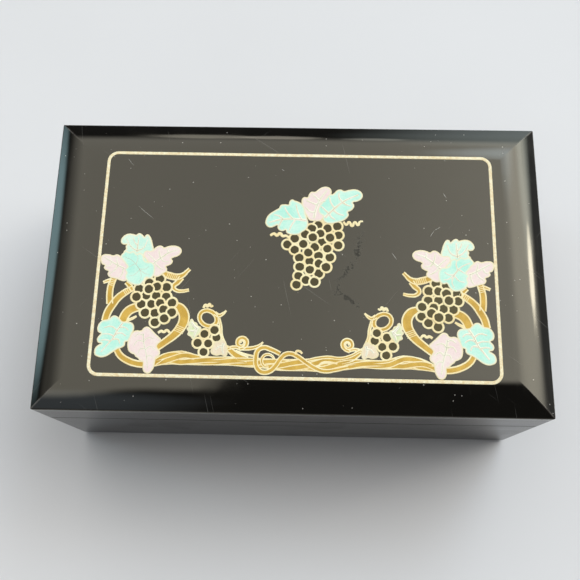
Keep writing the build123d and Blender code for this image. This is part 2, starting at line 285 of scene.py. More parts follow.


# %% [markdown]
# The box stands on a plain pale table. It isn't part of the object.
# A little slow unevenness keeps it from looking like a cut-out.

# %% Table top
table_finish, shader, place = new_finish("pale_table", Roughness=0.6)
feed(shader, Base_Color=blend(noise(place, 6.0, 4.0), (0.73, 0.725, 0.715), (0.78, 0.775, 0.765)))
mesh = bpy.data.meshes.new("table_top")
reach = 3.0
corners = [(-reach, -reach, 0), (reach, -reach, 0), (reach, reach, 0), (-reach, reach, 0)]
mesh.from_pydata(corners, [], [(0, 1, 2, 3)])
mesh.materials.append(table_finish)
table_top = bpy.data.objects.new("table_top", mesh)
scene.collection.objects.link(table_top)
print("table top:", 2 * reach, "m wide")

# %% [markdown]
# Handling leaves the same marks on every hard finish: specks of dust, hairline scratches and smudges.
# One shader group makes the three masks, and each material chooses how much of them it shows.
# Specks are the middles of Voronoi cells, with most cells left empty. Hairlines are noise that is
# stretched so far that only thin streaks pass a threshold.

# %% Group: signs of use
tree, given, sink = shader_group("signs of use", ("Dust", "Hairlines", "Smudge"),
                                 Speck_Spacing=0.004, Speck_Share=0.3, Streak_Length=0.03)
place = given["Vector"]
cells = add(tree, "TexVoronoi", Vector=place, Scale=1.0 / given["Speck Spacing"])
lots = add(tree, "SeparateColor", cells["Color"])
chosen = calc("LESS_THAN", lots["Red"], given["Speck Share"])
inside = calc("LESS_THAN", cells["Distance"], ramp(lots["Green"], 0.0, 1.0, 0.025, 0.085))
streaks = None
for angle, fineness in ((0.62, 1500.0), (-0.9, 1900.0), (1.35, 1700.0)):
    turned = add(tree, "Mapping", Vector=place, Rotation=(0, 0, angle))
    size = add(tree, "CombineXYZ", 1.0 / given["Streak Length"], fineness, 40.0)
    streak = ramp(noise(vector_calc("MULTIPLY", turned, size), 1.0, 0.0), 0.835, 0.88)
    streaks = streak if streaks is None else calc("MAXIMUM", streaks, streak)
smudge = ramp(noise(place, 28.0, 5.0, 0.8), 0.45, 0.75)
signs_of_use = done(sink, Dust=chosen * inside, Hairlines=streaks, Smudge=smudge)

# %% [markdown]
# Lacquer thins out on its arrises and lets a little of the brown ground through. A mesh can be searched
# for sharp edges, but the box is a plain block, so the distance to its nearest arris can be worked out
# from the place alone: on an edge of the block, two of the three distances to its faces are nearly nothing.

# %% Group: arris wear
tree, given, sink = shader_group("arris wear", ["Wear"], Middle="Vector", Half_Size="Vector", Width=0.001)
off_middle = vector_calc("ABSOLUTE", vector_calc("SUBTRACT", given["Vector"], given["Middle"]))
x_gap, y_gap, z_gap = add(tree, "SeparateXYZ", vector_calc("SUBTRACT", given["Half Size"], off_middle))
least = calc("MINIMUM", calc("MINIMUM", x_gap, y_gap), z_gap)
most = calc("MAXIMUM", calc("MAXIMUM", x_gap, y_gap), z_gap)
second = x_gap + y_gap + z_gap - least - most
uneven = noise(given["Vector"], 240.0, 4.0)
worn = add(tree, "MapRange", second, 0.0, given["Width"] * (uneven * 2.0), 1.0, 0.0)
arris_wear = done(sink, Wear=worn * ramp(uneven, 0.42, 0.62))

# %% [markdown]
# Black lacquer is many thin coats over wood, polished until it is nearly a mirror. Its own colour is almost
# nothing, and its marks are what makes it look real: dust on the flat, hairlines that catch the light,
# a very shallow waviness from the brush and the polishing, and brown showing through on the arrises.
# The top of the lid has had more polishing than the rails and the case, so each gets its own gloss.
# On the lid the edge colour also follows the four mitred corners, and it is pale there and on the arrises:
# a painted highlight of their rounding, together with their wear. The right border is rubbed in streaks.
# The dull scuff beside the middle bunch is blots of noise in four stretched circles, and each single scratch
# is a very thin stretched circle.

# %% Black lacquer
crown_top, crown_radius = 0.0943, 0.03982
flat_half_length, flat_half_depth = 0.097, 0.052


def inside_ellipses(place, ellipses):
    """How far out a place is in the nearest of some ellipses on the lid: 0 in its middle, 1 on its line.
    Each is given as x, y, half width and half length in mm, and its lean in degrees."""
    nearest = None
    for x, y, half_width, half_length, lean in ellipses:
        own = add(place.tree, "Mapping", Vector=place, Location=(x * MM, y * MM, crown_top),
                  Rotation=(0, 0, math.radians(lean)), Scale=(half_width * MM, half_length * MM, 0.02),
                  vector_type="TEXTURE")
        span = vector_calc("LENGTH", own)["Value"]
        nearest = span if nearest is None else calc("MINIMUM", nearest, span)
    return nearest


def black_lacquer(name, block, dust, gloss, bare=(0.030, 0.018, 0.011), warmth=0.76, scuffs=(), scratches=()):
    """Gloss black lacquer on a block with a middle and a half size, and the colour of its worn arrises.
    With scuffs and scratches it is the lid's: its pale arrises and mitres are painted highlight and wear,
    and its right border is rubbed."""
    finish, shader, place = new_finish(name, IOR=1.5, Specular_IOR_Level=gloss,
                                       Specular_Tint=(1.0, 0.75 + warmth / 4, warmth, 1))
    tree = place.tree
    middle, half_size = block
    east, north, height = add(tree, "SeparateXYZ", place)
    top = ramp(height, 0.0885, 0.0897)
    use = use_group(tree, signs_of_use, Vector=place, Speck_Spacing=0.0035, Speck_Share=dust)
    edge_mask = use_group(tree, arris_wear, Vector=place, Middle=middle, Half_Size=half_size, Width=0.0005)
    lines = use["Hairlines"] * top
    if scratches:
        past_x, past_y = abs(east) - flat_half_length, abs(north) - flat_half_depth
        # The mitre lines get the edge colour: their wear, and a painted highlight of the rounded mitre.
        on_mitre = ramp(abs(past_x - past_y), 0.0008, 0.0) * ramp(past_x, 0.004, 0.018)
        edge_mask = calc("MAXIMUM", edge_mask, on_mitre * ramp(noise(place, 300.0, 3.0), 0.35, 0.60, 0.2, 0.9))
    clean_black, smeared_black = (0.0022, 0.0020, 0.0019), (0.0045, 0.0040, 0.0034)
    line_grey, dust_grey, scratch_grey = (0.16, 0.155, 0.14), (0.55, 0.52, 0.46), (0.46, 0.45, 0.42)
    polish, smeared_polish = 0.06, 0.12
    coat = blend(use["Smudge"], clean_black, smeared_black)
    # Edge colour: the worn brown ground, but pale on the lid, where it also paints the arris and mitre
    # highlight.
    coat = blend(edge_mask, coat, bare)
    coat = blend(lines * 0.30, coat, line_grey)
    coat = blend(use["Dust"] * 0.55, coat, dust_grey)
    rough = ramp(use["Smudge"], 0.0, 1.0, polish, smeared_polish) + (1.0 - top) * 0.08
    rough = rough + lines * 0.08 + edge_mask * 0.15
    if scratches:
        scratched = ramp(inside_ellipses(place, scratches), 1.0, 0.5)
        coat = blend(scratched * 0.8, coat, scratch_grey)
        streaky = noise(add(tree, "Mapping", Vector=place, Scale=(900, 26, 26)), 1.0, 3.0)
        rough += ramp(streaky, 0.45, 0.70) * ramp(east, 0.094, 0.103) * 0.10
        blots = noise(place, 620.0, 6.0, 1.4) - inside_ellipses(place, scuffs) * 0.17
        rough += ramp(blots, 0.28, 0.52) * 0.62
    feed(shader, Base_Color=coat, Roughness=rough)
    bumped(shader, noise(place, 55.0, 2.0), 0.06, 0.0006)
    return finish


lid_block = (0, 0, 0.07922), (0.115, 0.07, 0.01508)
case_block = (0, 0, 0.03242), (0.115, 0.07, 0.03143)
# The lid's pale edge colour is a painted highlight on its arrises and mitres, along with their wear.
lid_lacquer = black_lacquer(
    "lid_lacquer", lid_block, dust=0.60, gloss=0.79, bare=(0.13, 0.115, 0.10),
    scuffs=((29.5, 7.0, 1.5, 7.0, -12), (23.0, -6.5, 1.3, 7.5, -36), (19.6, -13.5, 1.1, 3.4, -10),
            (24.5, -18.0, 1.3, 5.5, 52)),
    scratches=((-69.8, 22.3, 0.09, 5.9, 50), (63.4, 13.7, 0.11, 2.2, -32), (66.0, 16.3, 0.11, 2.2, -59),
               (45.8, 2.4, 0.12, 2.4, 34), (69.9, 33.0, 0.15, 1.6, 28), (-79.0, 48.2, 0.09, 2.8, 38),
               (-6.2, 45.0, 0.16, 0.9, 60)))
rail_lacquer = black_lacquer("rail_lacquer", lid_block, dust=0.35, gloss=0.11)
case_lacquer = black_lacquer("case_lacquer", case_block, dust=0.30, gloss=0.11)
grape_black = black_lacquer("grape_black", lid_block, dust=0.10, gloss=0.74, warmth=0.46)


def finish_nodes(finish, *names):
    """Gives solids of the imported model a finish."""
    for name in names:
        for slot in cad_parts[name].material_slots:
            slot.material = finish
    print(finish.name, "on", len(names), "solids")


walls = ("front", "back", "left", "right")
finish_nodes(lid_lacquer, "lid_top_board")
finish_nodes(rail_lacquer, *["lid_%s_rail" % wall for wall in walls])
finish_nodes(case_lacquer, *[wall + "_wall" for wall in walls])

# %% [markdown]
# The vine on the lid is painted in slightly raised lines. Three paints do it: a cream gold for outlines,
# a deeper ochre gold for the stems, and soft pastels for the leaves. Gold paint is full of powder, so it is
# never even. The group gives a tone that varies in grains and in slow clouds, and a height for the bump.

# %% Group: powdery paint
tree, given, sink = shader_group("powdery paint", ("Color", "Height"), Grain=0.0003, Cloud=0.006,
                                 Low="Color", High="Color")
grains = noise(given["Vector"], 1.0 / given["Grain"], 2.0)
clouds = noise(given["Vector"], 1.0 / given["Cloud"], 3.0)
share = ramp(grains * 0.6 + clouds * 0.9, 0.50, 1.0)
powdery_paint = done(sink, Color=blend(share, given["Low"], given["High"]), Height=grains)

# %% [markdown]
# The paints of the picture: a sandy gold for the frame, cream gold for lines, ochre for the stems, and the
# pastels of the leaves. Each has a low and a high colour that the powder mixes.

# %% Paints
def powdered(name, low, high, grain, cloud):
    """A finish with the powder of a paint; returns it, its shader and the powder."""
    finish, shader, place = new_finish(name, IOR=1.5, Specular_IOR_Level=0.25)
    return finish, shader, use_group(place.tree, powdery_paint, Vector=place, Grain=grain, Cloud=cloud,
                                     Low=(*low, 1), High=(*high, 1))


def paint(name, low, high, grain, cloud, roughness):
    """A raised paint whose colour wanders between two tones."""
    finish, shader, powder = powdered(name, low, high, grain, cloud)
    rough = ramp(powder["Height"], 0.3, 0.7, roughness - 0.08, roughness + 0.08)
    feed(shader, Base_Color=powder["Color"], Roughness=rough)
    bumped(shader, powder["Height"], 0.35, 0.00005)
    return finish


def leaf_paint(name, heart_low, heart_high, rim):
    """A pastel that is deep in the heart of a leaf and pales towards its rim."""
    finish, shader, powder = powdered(name, heart_low, heart_high, 0.0008, 0.006)
    from_rim = add(powder.tree, "Attribute", attribute_name="from_rim")["Fac"]
    wander = (powder["Height"] - 0.5) * 0.0009
    colour = blend(ramp(from_rim + wander, 0.0, 0.0010), rim, powder["Color"])
    feed(shader, Base_Color=colour, Roughness=ramp(powder["Height"], 0.3, 0.7, 0.24, 0.38))
    bumped(shader, powder["Height"], 0.3, 0.00005)
    return finish


frame_gold = paint("frame_gold_paint", (0.84, 0.66, 0.36), (1.00, 0.94, 0.66), 0.00036, 0.0012, 0.40)
cream_gold = paint("cream_gold_paint", (0.95, 0.76, 0.38), (1.00, 0.91, 0.56), 0.00030, 0.008, 0.32)
ochre_gold = paint("ochre_gold_paint", (0.56, 0.33, 0.038), (0.76, 0.48, 0.085), 0.00025, 0.005, 0.34)
leaf_edge = paint("leaf_edge_paint", (0.82, 0.70, 0.38), (0.94, 0.86, 0.58), 0.00040, 0.008, 0.32)
vein_paint = paint("vein_paint", (0.32, 0.36, 0.25), (0.56, 0.52, 0.36), 0.0004, 0.004, 0.36)
rib_light = paint("rib_light_paint", (0.92, 0.86, 0.62), (0.98, 0.94, 0.78), 0.0005, 0.004, 0.34)
mint_paint = leaf_paint("mint_paint", (0.46, 0.88, 0.71), (0.66, 0.94, 0.77), (0.88, 0.88, 0.64))
pale_mint = leaf_paint("pale_mint_paint", (0.58, 0.90, 0.74), (0.78, 0.93, 0.74), (0.90, 0.88, 0.64))
pink_paint = leaf_paint("pink_paint", (0.91, 0.72, 0.68), (0.95, 0.82, 0.73), (0.93, 0.82, 0.60))
green_paint = leaf_paint("pale_green_paint", (0.70, 0.80, 0.42), (0.86, 0.86, 0.60), (0.88, 0.84, 0.54))
cream_paint = leaf_paint("cream_leaf_paint", (0.84, 0.68, 0.46), (0.92, 0.80, 0.58), (0.90, 0.78, 0.48))
print("paints mixed:", sum(finish.name.endswith("paint") for finish in bpy.data.materials))

# %% [markdown]
# Short helpers for the Geometry Nodes trees: move a shape, give it its paint, join shapes, close a flat
# shape to a slab, and settle the result on the lid as real geometry.

# %% Geometry tree helpers
def shifted(shape, offset):
    """A shape with its points moved by an offset."""
    return add(shape.tree, "SetPosition", shape, Offset=offset)


def raised(shape, level):
    """A shape lifted by a level."""
    return shifted(shape, add(shape.tree, "CombineXYZ", None, None, level))


def along_normal(amount):
    """An offset of that amount along the normal."""
    return vector_calc("SCALE", add(amount.tree, "InputNormal"), Scale=amount)


def painted(shape, finish):
    """Gives a shape its paint."""
    return add(shape.tree, "SetMaterial", shape, Material=finish)


def joined(*shapes):
    """Several shapes as one."""
    whole = add(shapes[0].tree, "JoinGeometry")
    for shape in shapes:
        feed(whole.node, shape)
    return whole


def resampled(curve, step=None):
    """A curve as plain points: at the places where it is drawn, or one at every step."""
    return add(curve.tree, "ResampleCurve", curve, Length=step, mode="LENGTH" if step else "EVALUATED")


def levelled(curve):
    """A curve whose normals lie level, so that they point to its sides."""
    return add(curve.tree, "SetCurveNormal", curve, mode="Z_UP")


def with_radius(curve, radius):
    """A curve with that radius, which is the width of a stroke in millimetres."""
    return add(curve.tree, "SetCurveRadius", curve, Radius=radius)


def slab(flat, thickness):
    """A flat shape closed to a slab that stands up from it."""
    thick = add(flat.tree, "ExtrudeMesh", flat, Offset=(0, 0, 1), Offset_Scale=thickness, Individual=False)
    both = joined(thick, add(flat.tree, "FlipFaces", flat))
    return add(flat.tree, "MergeByDistance", both, Distance=0.000001)


def random_size(given):
    """A random size about 1, by the spread and the seed that a tree is given."""
    spread = given["Spread"]
    return add(given.tree, "RandomValue", None, None, 1.0 - spread, spread + 1.0, Seed=given["Seed"],
               data_type="FLOAT")[1]


def settled(sink, shape):
    """Settles a painted shape on the lid and ends its tree with real geometry."""
    on_crown = use_group(shape.tree, settle_on_crown, Geometry=shape)
    return done(sink, add(shape.tree, "RealizeInstances", on_crown))


# %% [markdown]
# The paint follows the lid, which is flat in the middle and rolls off near its border. One Geometry Nodes
# group drops each point by the rule of that roll-off, so that every painted shape can be drawn flat first.

# %% Geometry group: settle on crown
tree, given, sink = geometry_tree("settle on crown", Crown_Top=crown_top, Flat_Half_Length=flat_half_length,
                                  Flat_Half_Depth=flat_half_depth, Crown_Radius=crown_radius)
spot = add(tree, "SeparateXYZ", add(tree, "InputPosition"))
past_x, past_y = abs(spot[0]) - given["Flat Half Length"], abs(spot[1]) - given["Flat Half Depth"]
past = calc("MAXIMUM", calc("MAXIMUM", past_x, past_y), 0.0)
round_off = given["Crown Radius"]
drop = round_off - calc("SQRT", calc("POWER", round_off, 2.0) - calc("POWER", past, 2.0))
settle_on_crown = done(sink, raised(given["Geometry"], given["Crown Top"] - drop))

# %% [markdown]
# A brush line is a flat bead of paint that gets thinner where the brush lifts. The sweep is a group of its
# own, because the stems use it too. The curve's radius holds the width of the stroke in millimetres. A plain
# sweep would make wide strokes thick as well, so afterwards each point's height above the line is divided
# by its width again.

# %% Geometry group: swept bead
tree, given, sink = geometry_tree("swept bead", Height=0.00006, Width_Unit=0.001, Sides=8)
level = add(tree, "SeparateXYZ", add(tree, "InputPosition"))[2]
radius, unit = add(tree, "InputRadius"), given["Width Unit"]
kept = add(tree, "CaptureAttribute")
kept.node.capture_items.new("FLOAT", "Stroke Width")
kept.node.capture_items.new("FLOAT", "Line Level")
feed(kept.node, resampled(given["Geometry"]), Stroke_Width=radius, Line_Level=level)
disc = add(tree, "CurvePrimitiveCircle", Resolution=given["Sides"], Radius=0.5)
oval = add(tree, "Transform", Geometry=disc, Scale=add(tree, "CombineXYZ", unit, unit, 1.0))
bead = add(tree, "CurveToMesh", Curve=levelled(kept), Profile_Curve=oval, Scale=radius, Fill_Caps=True)
width = calc("MAXIMUM", kept["Stroke Width"], 0.05) * unit
above = level - kept["Line Level"]
shaped = raised(bead, above * 2.0 / width * given["Height"] - above)
swept_bead = done(sink, add(tree, "SetShadeSmooth", shaped))

# %% [markdown]
# The simplest tree is one brush line: a bead in one paint. Frame, leaf edges, veins and tendrils use it.

# %% Geometry tree: brush line
tree, given, sink = geometry_tree("brush line", Height=0.00003, Paint="Material")
bead = use_group(tree, swept_bead, Geometry=given["Geometry"], Height=given["Height"])
brush_line = settled(sink, painted(bead, given["Paint"]))

# %% [markdown]
# A stem is a band of ochre with a cream line along each side. The side lines are the same curve moved
# sideways by half its width, so they stay parallel to the band however it bends, and meet where it tapers.

# %% Geometry group: outlined stem
stem_inputs = {"Height": 0.00002, "Line Width": 0.8, "Line Height": 0.00003,
               "Fill Paint": "Material", "Line Paint": "Material"}
tree, given, sink = geometry_tree("outlined stem", **stem_inputs)
curve = levelled(resampled(given["Geometry"]))
band = use_group(tree, swept_bead, Geometry=curve, Height=given["Height"], Sides=10)
shapes = [painted(band, given["Fill Paint"])]
half_mm = 0.0005
for side in (-half_mm, half_mm):
    inner = calc("MAXIMUM", add(tree, "InputRadius") - given["Line Width"], 0.0)
    thin = with_radius(shifted(curve, along_normal(inner * side)), given["Line Width"])
    line = use_group(tree, swept_bead, Geometry=thin, Height=given["Line Height"])
    shapes.append(painted(line, given["Line Paint"]))
outlined_stem = done(sink, joined(*shapes))

tree, given, sink = geometry_tree("painted stem", **stem_inputs)
handed_on = {label: given[label] for label in ("Geometry", *stem_inputs)}
painted_stem = settled(sink, use_group(tree, outlined_stem, **handed_on))

# %% [markdown]
# Along the foot of the picture three stems are twisted like a loose rope. Each is the guide curve swung
# from side to side as a cosine of the distance along it, and up and down as a sine, a third of a turn
# apart, so that they really pass over and under each other. The guide's radius is half the rope's spread.
# A flat outlined bed of ochre under them closes the gaps between the stems, as the brush did.

# %% Geometry tree: twisted stems
tree, given, sink = geometry_tree("twisted stems", Stems=3, Pitch=0.036, Stem_Width=2.8, Step=0.0008,
                                  Lift=0.00001, Line_Width=0.58, Fill_Paint="Material", Line_Paint="Material")
copies = add(tree, "DuplicateElements", given["Geometry"], Amount=given["Stems"], domain="SPLINE")
numbered = add(tree, "CaptureAttribute", domain="CURVE")
numbered.node.capture_items.new("FLOAT", "Stem")
feed(numbered.node, copies, Stem=copies["Duplicate Index"])
turns = add(tree, "SplineParameter")["Length"] / given["Pitch"]
angle = (turns + numbered["Stem"] / given["Stems"]) * (2 * math.pi)
room = add(tree, "InputRadius") - given["Stem Width"] * 0.5
swing = along_normal(calc("COSINE", angle) * room * 0.001)
rise = add(tree, "CombineXYZ", None, None, calc("SINE", angle) * given["Lift"])
swung = shifted(levelled(resampled(numbered, given["Step"])), vector_calc("ADD", swing, rise))
handed_on = {label: given[label] for label in ("Line Width", "Fill Paint", "Line Paint")}
rope = use_group(tree, outlined_stem, Geometry=with_radius(swung, given["Stem Width"]),
                 Height=0.00003, Line_Height=0.000036, **handed_on)
broad = with_radius(given["Geometry"], add(tree, "InputRadius") * 2.0)
bed = use_group(tree, outlined_stem, Geometry=broad, Height=0.000014, Line_Height=0.000018, **handed_on)
twisted_stems = settled(sink, joined(rope, bed))

# %% [markdown]
# A painted leaf is a flat patch of colour inside a thin outline. Its outline is drawn as a closed curve.
# The tree fills a narrow border and the heart inside it, and closes the fill to a thin patch. It also notes
# how far each point lies from the rim, so that the paint can be deep in the heart and pale at the edge.

# %% Geometry tree: leaf patch
tree, given, sink = geometry_tree("leaf patch", Top=0.00005, Body=0.00012, Border=0.0007, Fineness=1,
                                  Paint="Material")
points = resampled(given["Geometry"])
outer = levelled(points)
inner = shifted(outer, along_normal(given["Border"] * -1.0))
band = add(tree, "FillCurve", joined(outer, inner), mode="TRIANGLES")
heart = add(tree, "FillCurve", inner, mode="TRIANGLES")
whole = add(tree, "MergeByDistance", joined(band, heart), Distance=0.000004)
fine = add(tree, "SubdivideMesh", whole, given["Fineness"])
near = add(tree, "Proximity", add(tree, "CurveToMesh", points), target_element="EDGES")["Distance"]
noted = add(tree, "StoreNamedAttribute", fine, Name="from_rim", Value=near, data_type="FLOAT", domain="POINT")
patch = raised(slab(noted, given["Body"]), given["Top"] - given["Body"])
leaf_patch = settled(sink, painted(patch, given["Paint"]))

# %% [markdown]
# The grapes are rings of cream gold with the black lacquer left inside. Each ring comes with a black disc
# that reaches almost as high as its line. A grape that hangs in front is laid a touch higher than the ones
# it overlaps, so its disc covers their lines and the rings join to a net.

# %% Geometry tree: grape rings
tree, given, sink = geometry_tree("grape rings", Hole_Radius=0.00190, Line_Width=1.08, Line_Height=0.00004,
                                  Spread=0.03, Seed=5, Line_Paint="Material", Ground="Material")
hole, line_width, line_height = given["Hole Radius"], given["Line Width"], given["Line Height"]
hoop = add(tree, "CurvePrimitiveCircle", Resolution=22, Radius=hole + line_width * half_mm)
ring = use_group(tree, swept_bead, Geometry=with_radius(hoop, line_width), Height=line_height, Sides=6)
disc = add(tree, "FillCurve", add(tree, "CurvePrimitiveCircle", Resolution=20, Radius=hole), mode="NGONS")
sunk, below_line = 0.00006, 0.000005
ground = raised(slab(disc, line_height + (sunk - below_line)), -sunk)
grape = joined(painted(ring, given["Line Paint"]), painted(ground, given["Ground"]))
size = random_size(given)
grapes = add(tree, "InstanceOnPoints", Points=given["Geometry"], Instance=grape,
             Scale=add(tree, "CombineXYZ", size, size, 1.0))
grape_rings = settled(sink, add(tree, "RealizeInstances", grapes))

# %% [markdown]
# The drawing itself is a list of strokes in millimetres from the middle of the painted frame, which lies
# a touch off the middle of the lid and very slightly turned, as hand work does. The right half of the
# vine mirrors the left, so a stroke is written once. A stroke's third number is its width.

# %% Drawing helpers
drawing_middle = Vector((1.02, -1.16)) * MM
drawing_turn = Matrix.Rotation(math.radians(-0.19), 2)
hair = 0.0000004


def on_lid(x, y, turn=0, level=0.0):
    """A place in the drawing, in metres on the lid.
    Each turn lies a hair higher, so no two lines share a level."""
    spot = drawing_turn @ Vector((x, y)) * MM + drawing_middle
    return spot.x, spot.y, level + turn * hair


def both_sides(strokes):
    """The strokes and their mirror images."""
    return strokes + [[(-x, *rest) for x, *rest in reversed(stroke)] for stroke in strokes]


def drawn(strokes, width=None, closed=False, handle="AUTO"):
    """A curve object with a spline through each stroke's points; radius is the width in mm.
    The spline is smooth, or straight between its points with the handle VECTOR."""
    curve = bpy.data.curves.new("strokes", "CURVE")
    curve.dimensions = "3D"
    for k, stroke in enumerate(strokes):
        spline = curve.splines.new("BEZIER")
        spline.bezier_points.add(len(stroke) - 1)
        spline.use_cyclic_u = closed
        spline.resolution_u = 5
        for point, (x, y, *own) in zip(spline.bezier_points, stroke):
            point.co = on_lid(x, y, k)
            point.radius = own[0] if own else width
            point.handle_left_type = point.handle_right_type = handle
    return bpy.data.objects.new("strokes", curve)


def dotted(places, reach, step=0.000012):
    """A mesh object of single points.
    A point that overlaps earlier ones within the reach stands a step higher."""
    levels = []
    for k, place in enumerate(places):
        under = [levels[j] + 1 for j in range(k) if math.dist(place, places[j]) < reach]
        levels.append(max(under, default=0))
    spots = [on_lid(x, y, k, level * step) for k, ((x, y), level) in enumerate(zip(places, levels))]
    mesh = bpy.data.meshes.new("places")
    mesh.from_pydata(spots, [], [])
    return bpy.data.objects.new("places", mesh)


def part_way(points, share):
    """The number of a step along some points, and the place a share of the way along all of them."""
    k = min(int(share * (len(points) - 1)), len(points) - 2)
    part = share * (len(points) - 1) - k
    return k, [a + (b - a) * part for a, b in zip(points[k], points[k + 1])]


def plain_mesh(carrier, **settings):
    """What the modifiers of an object make of it, as a mesh."""
    view = bpy.context.evaluated_depsgraph_get()
    return bpy.data.meshes.new_from_object(carrier.evaluated_get(view), depsgraph=view, **settings)


def new_piece(name, mesh, body, finish=None):
    """Adds a mesh as a piece on a body; with a finish it gets that instead of its own."""
    if finish:
        mesh.materials.clear()
        mesh.materials.append(finish)
    piece = bpy.data.objects.new(name, mesh)
    scene.collection.objects.link(piece)
    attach(piece, body)
    print(name, len(mesh.polygons), "faces")
    return piece


def made(name, carrier, tree, body, **values):
    """Runs a tree on a carrier and returns the result as a plain mesh piece on a body."""
    scene.collection.objects.link(carrier)
    step = carrier.modifiers.new("make", "NODES")
    step.node_group = tree
    for socket in tree.interface.items_tree:
        if socket.in_out == "INPUT" and socket.name.replace(" ", "_") in values:
            step[socket.identifier] = values[socket.name.replace(" ", "_")]
    mesh = plain_mesh(carrier, preserve_all_data_layers=True)
    carrier.modifiers.remove(step)
    bpy.data.objects.remove(carrier)
    mesh.name = name
    return new_piece(name, mesh, body)


# %% [markdown]
# The frame is one closed line with rounded corners, just inside the place where the lid starts to roll off.

# %% Painted frame
def rounded_frame(half_length, half_depth, corner):
    """Points of a rectangle with rounded corners, close together at the corners."""
    places = []
    for cx, cy, start in ((1, 1, 0), (-1, 1, 90), (-1, -1, 180), (1, -1, 270)):
        for turn_by in range(0, 91, 15):
            angle = math.radians(start + turn_by)
            places.append((cx * (half_length - corner) + corner * math.cos(angle),
                           cy * (half_depth - corner) + corner * math.sin(angle)))
    return places


frame_line = drawn([rounded_frame(90.7, 53.8, 4.4)], 1.6, closed=True, handle="VECTOR")
made("painted_frame_line", frame_line, brush_line, "lid", Paint=frame_gold, Height=0.00003)

# %% [markdown]
# The grapes hang in three large bunches and two small ones.

# %% Grapes
left_bunch = [(-62, -9.25), (-66.7, -11.4), (-71.1, -14.25), (-58.7, -13.2), (-63.1, -13), (-72, -18),
              (-67.6, -17.2), (-66.7, -14.25), (-63.1, -17.4), (-58.6, -17.7), (-55.75, -20.5),
              (-65, -21.2), (-69.6, -21.4), (-61.1, -20.7), (-59.3, -23.8), (-55.6, -25), (-63.2, -25.4),
              (-67.6, -25.3), (-58.75, -27.8), (-62.8, -29.7)]
right_bunch = [(63.2, -9.1), (67.9, -10.2), (60, -12.7), (64.3, -12.7), (72.6, -13.9), (67.9, -13.8),
               (59.6, -17.2), (73, -17.2), (68.9, -17), (64.1, -17.1), (56.8, -20.1), (70.7, -21.1),
               (66.3, -20.9), (62, -20.4), (60.9, -23.1), (56.4, -24.6), (64.1, -24.9), (68.4, -24.9),
               (59.4, -27.5), (63.6, -29.3)]
small_left = [(-34.8, -36.1), (-40.3, -34.6), (-35.9, -32.7), (-43.1, -38.75), (-38.4, -38.9),
              (-40.25, -42.8)]
small_right = [(35.4, -36.2), (40.9, -34.6), (36.4, -32.6), (43.4, -38.6), (38.7, -38.9), (40.4, -42.6)]
middle_bunch = [(9.75, 18.25), (18.5, 17.85), (6.75, 16.5), (14, 16.75), (3.75, 13.75), (10.75, 14.25),
                (19.1, 13.5), (15.25, 12.25), (-1.1, 11.5), (7.25, 12.25), (-4.4, 8.5), (2.9, 8.9),
                (11.6, 10), (19, 8.5), (-1, 6), (8.25, 7.4), (14, 6.8), (5.3, 4.7), (10, 3.2), (15.2, 2.6),
                (1.2, 2.1), (6, 0.5), (10.2, -0.5), (1.5, -2.2), (13.5, -2.2), (6.15, -3.5), (10.2, -5.3),
                (1, -6.6), (4.4, -8.5), (8.3, -9.3), (0.2, -10.8)]
bunches = [("left", left_bunch, 0.00190, 4.15, 5), ("right", right_bunch, 0.00190, 4.15, 8),
           ("middle", middle_bunch, 0.00190, 4.15, 3), ("small_left", small_left, 0.00175, 3.9, 9),
           ("small_right", small_right, 0.00175, 3.9, 6)]
for name, bunch, hole, reach, seed in bunches:
    made("painted_grapes_" + name, dotted(bunch, reach), grape_rings, "lid", Hole_Radius=hole, Seed=seed,
         Line_Paint=cream_gold, Ground=grape_black)

# %% [markdown]
# Stems: on each side three stems come out from behind the top leaves and bend round the bunch like a heart.

# %% Stems
side_stems = [
    [(-82.9, -8.6, 3.2), (-84.1, -13, 3.3), (-84.3, -17, 3.3), (-83.8, -21.5, 3.4)],
    [(-73.6, -13.6, 2.8), (-77.2, -15.9, 3.4), (-80.3, -18.6, 3.6), (-82.6, -22.0, 3.8),
     (-84.4, -25.5, 3.8), (-85.3, -29.5, 3.6)],
    [(-69.6, -22.6, 4.2), (-72.8, -23.3, 4.5), (-75.6, -25.3, 4.6), (-77.6, -29.6, 4.4)],
    [(-55.0, -21.4, 3.4), (-51.9, -22.9, 4.6), (-50.1, -25.6, 5.0), (-49.9, -28.8, 5.0),
     (-51.2, -32.0, 4.7), (-53.9, -35.4, 4.1), (-57.2, -38.2, 3.7), (-61.4, -41.5, 3.4)],
    [(-79.2, -41.8, 3.0), (-77.2, -44.9, 3.2), (-73.6, -47.3, 3.3), (-69.5, -48.6, 3.3),
     (-66.0, -48.8, 3.3), (-60.0, -47.9, 3.2)],
    [(-61.5, -6.4, 3.2), (-57.5, -7.7, 3.6), (-54.2, -8.2, 3.4), (-51.6, -7.2, 2.6), (-49.8, -5.4, 2.0),
     (-48.7, -4.2, 1.9)],
    [(-52.2, -8.4, 3.0), (-53.7, -10.6, 2.8), (-55.6, -12.8, 2.4), (-54.4, -14.5, 2.0), (-51.6, -14.9, 1.8),
     (-48.4, -14.3, 1.6)],
    [(-84.6, -10.3, 2.0), (-86.4, -10.9, 1.8), (-87.7, -11.5, 1.5)],
    [(-77.4, -11.2, 2.0), (-75.4, -13.0, 2.6), (-73.8, -15.2, 2.0)],
    [(-75.4, -29.2, 1.4), (-73.2, -28.2, 1.5), (-71.2, -27.0, 1.0)],
]
lean = -0.6
ring_loop = [(-39.0 + 4.15 * math.cos(a) * math.cos(lean) - 3.35 * math.sin(a) * math.sin(lean),
              -27.4 + 4.15 * math.cos(a) * math.sin(lean) + 3.35 * math.sin(a) * math.cos(lean), 2.2)
             for a in [k * math.pi / 5 for k in range(10)]]
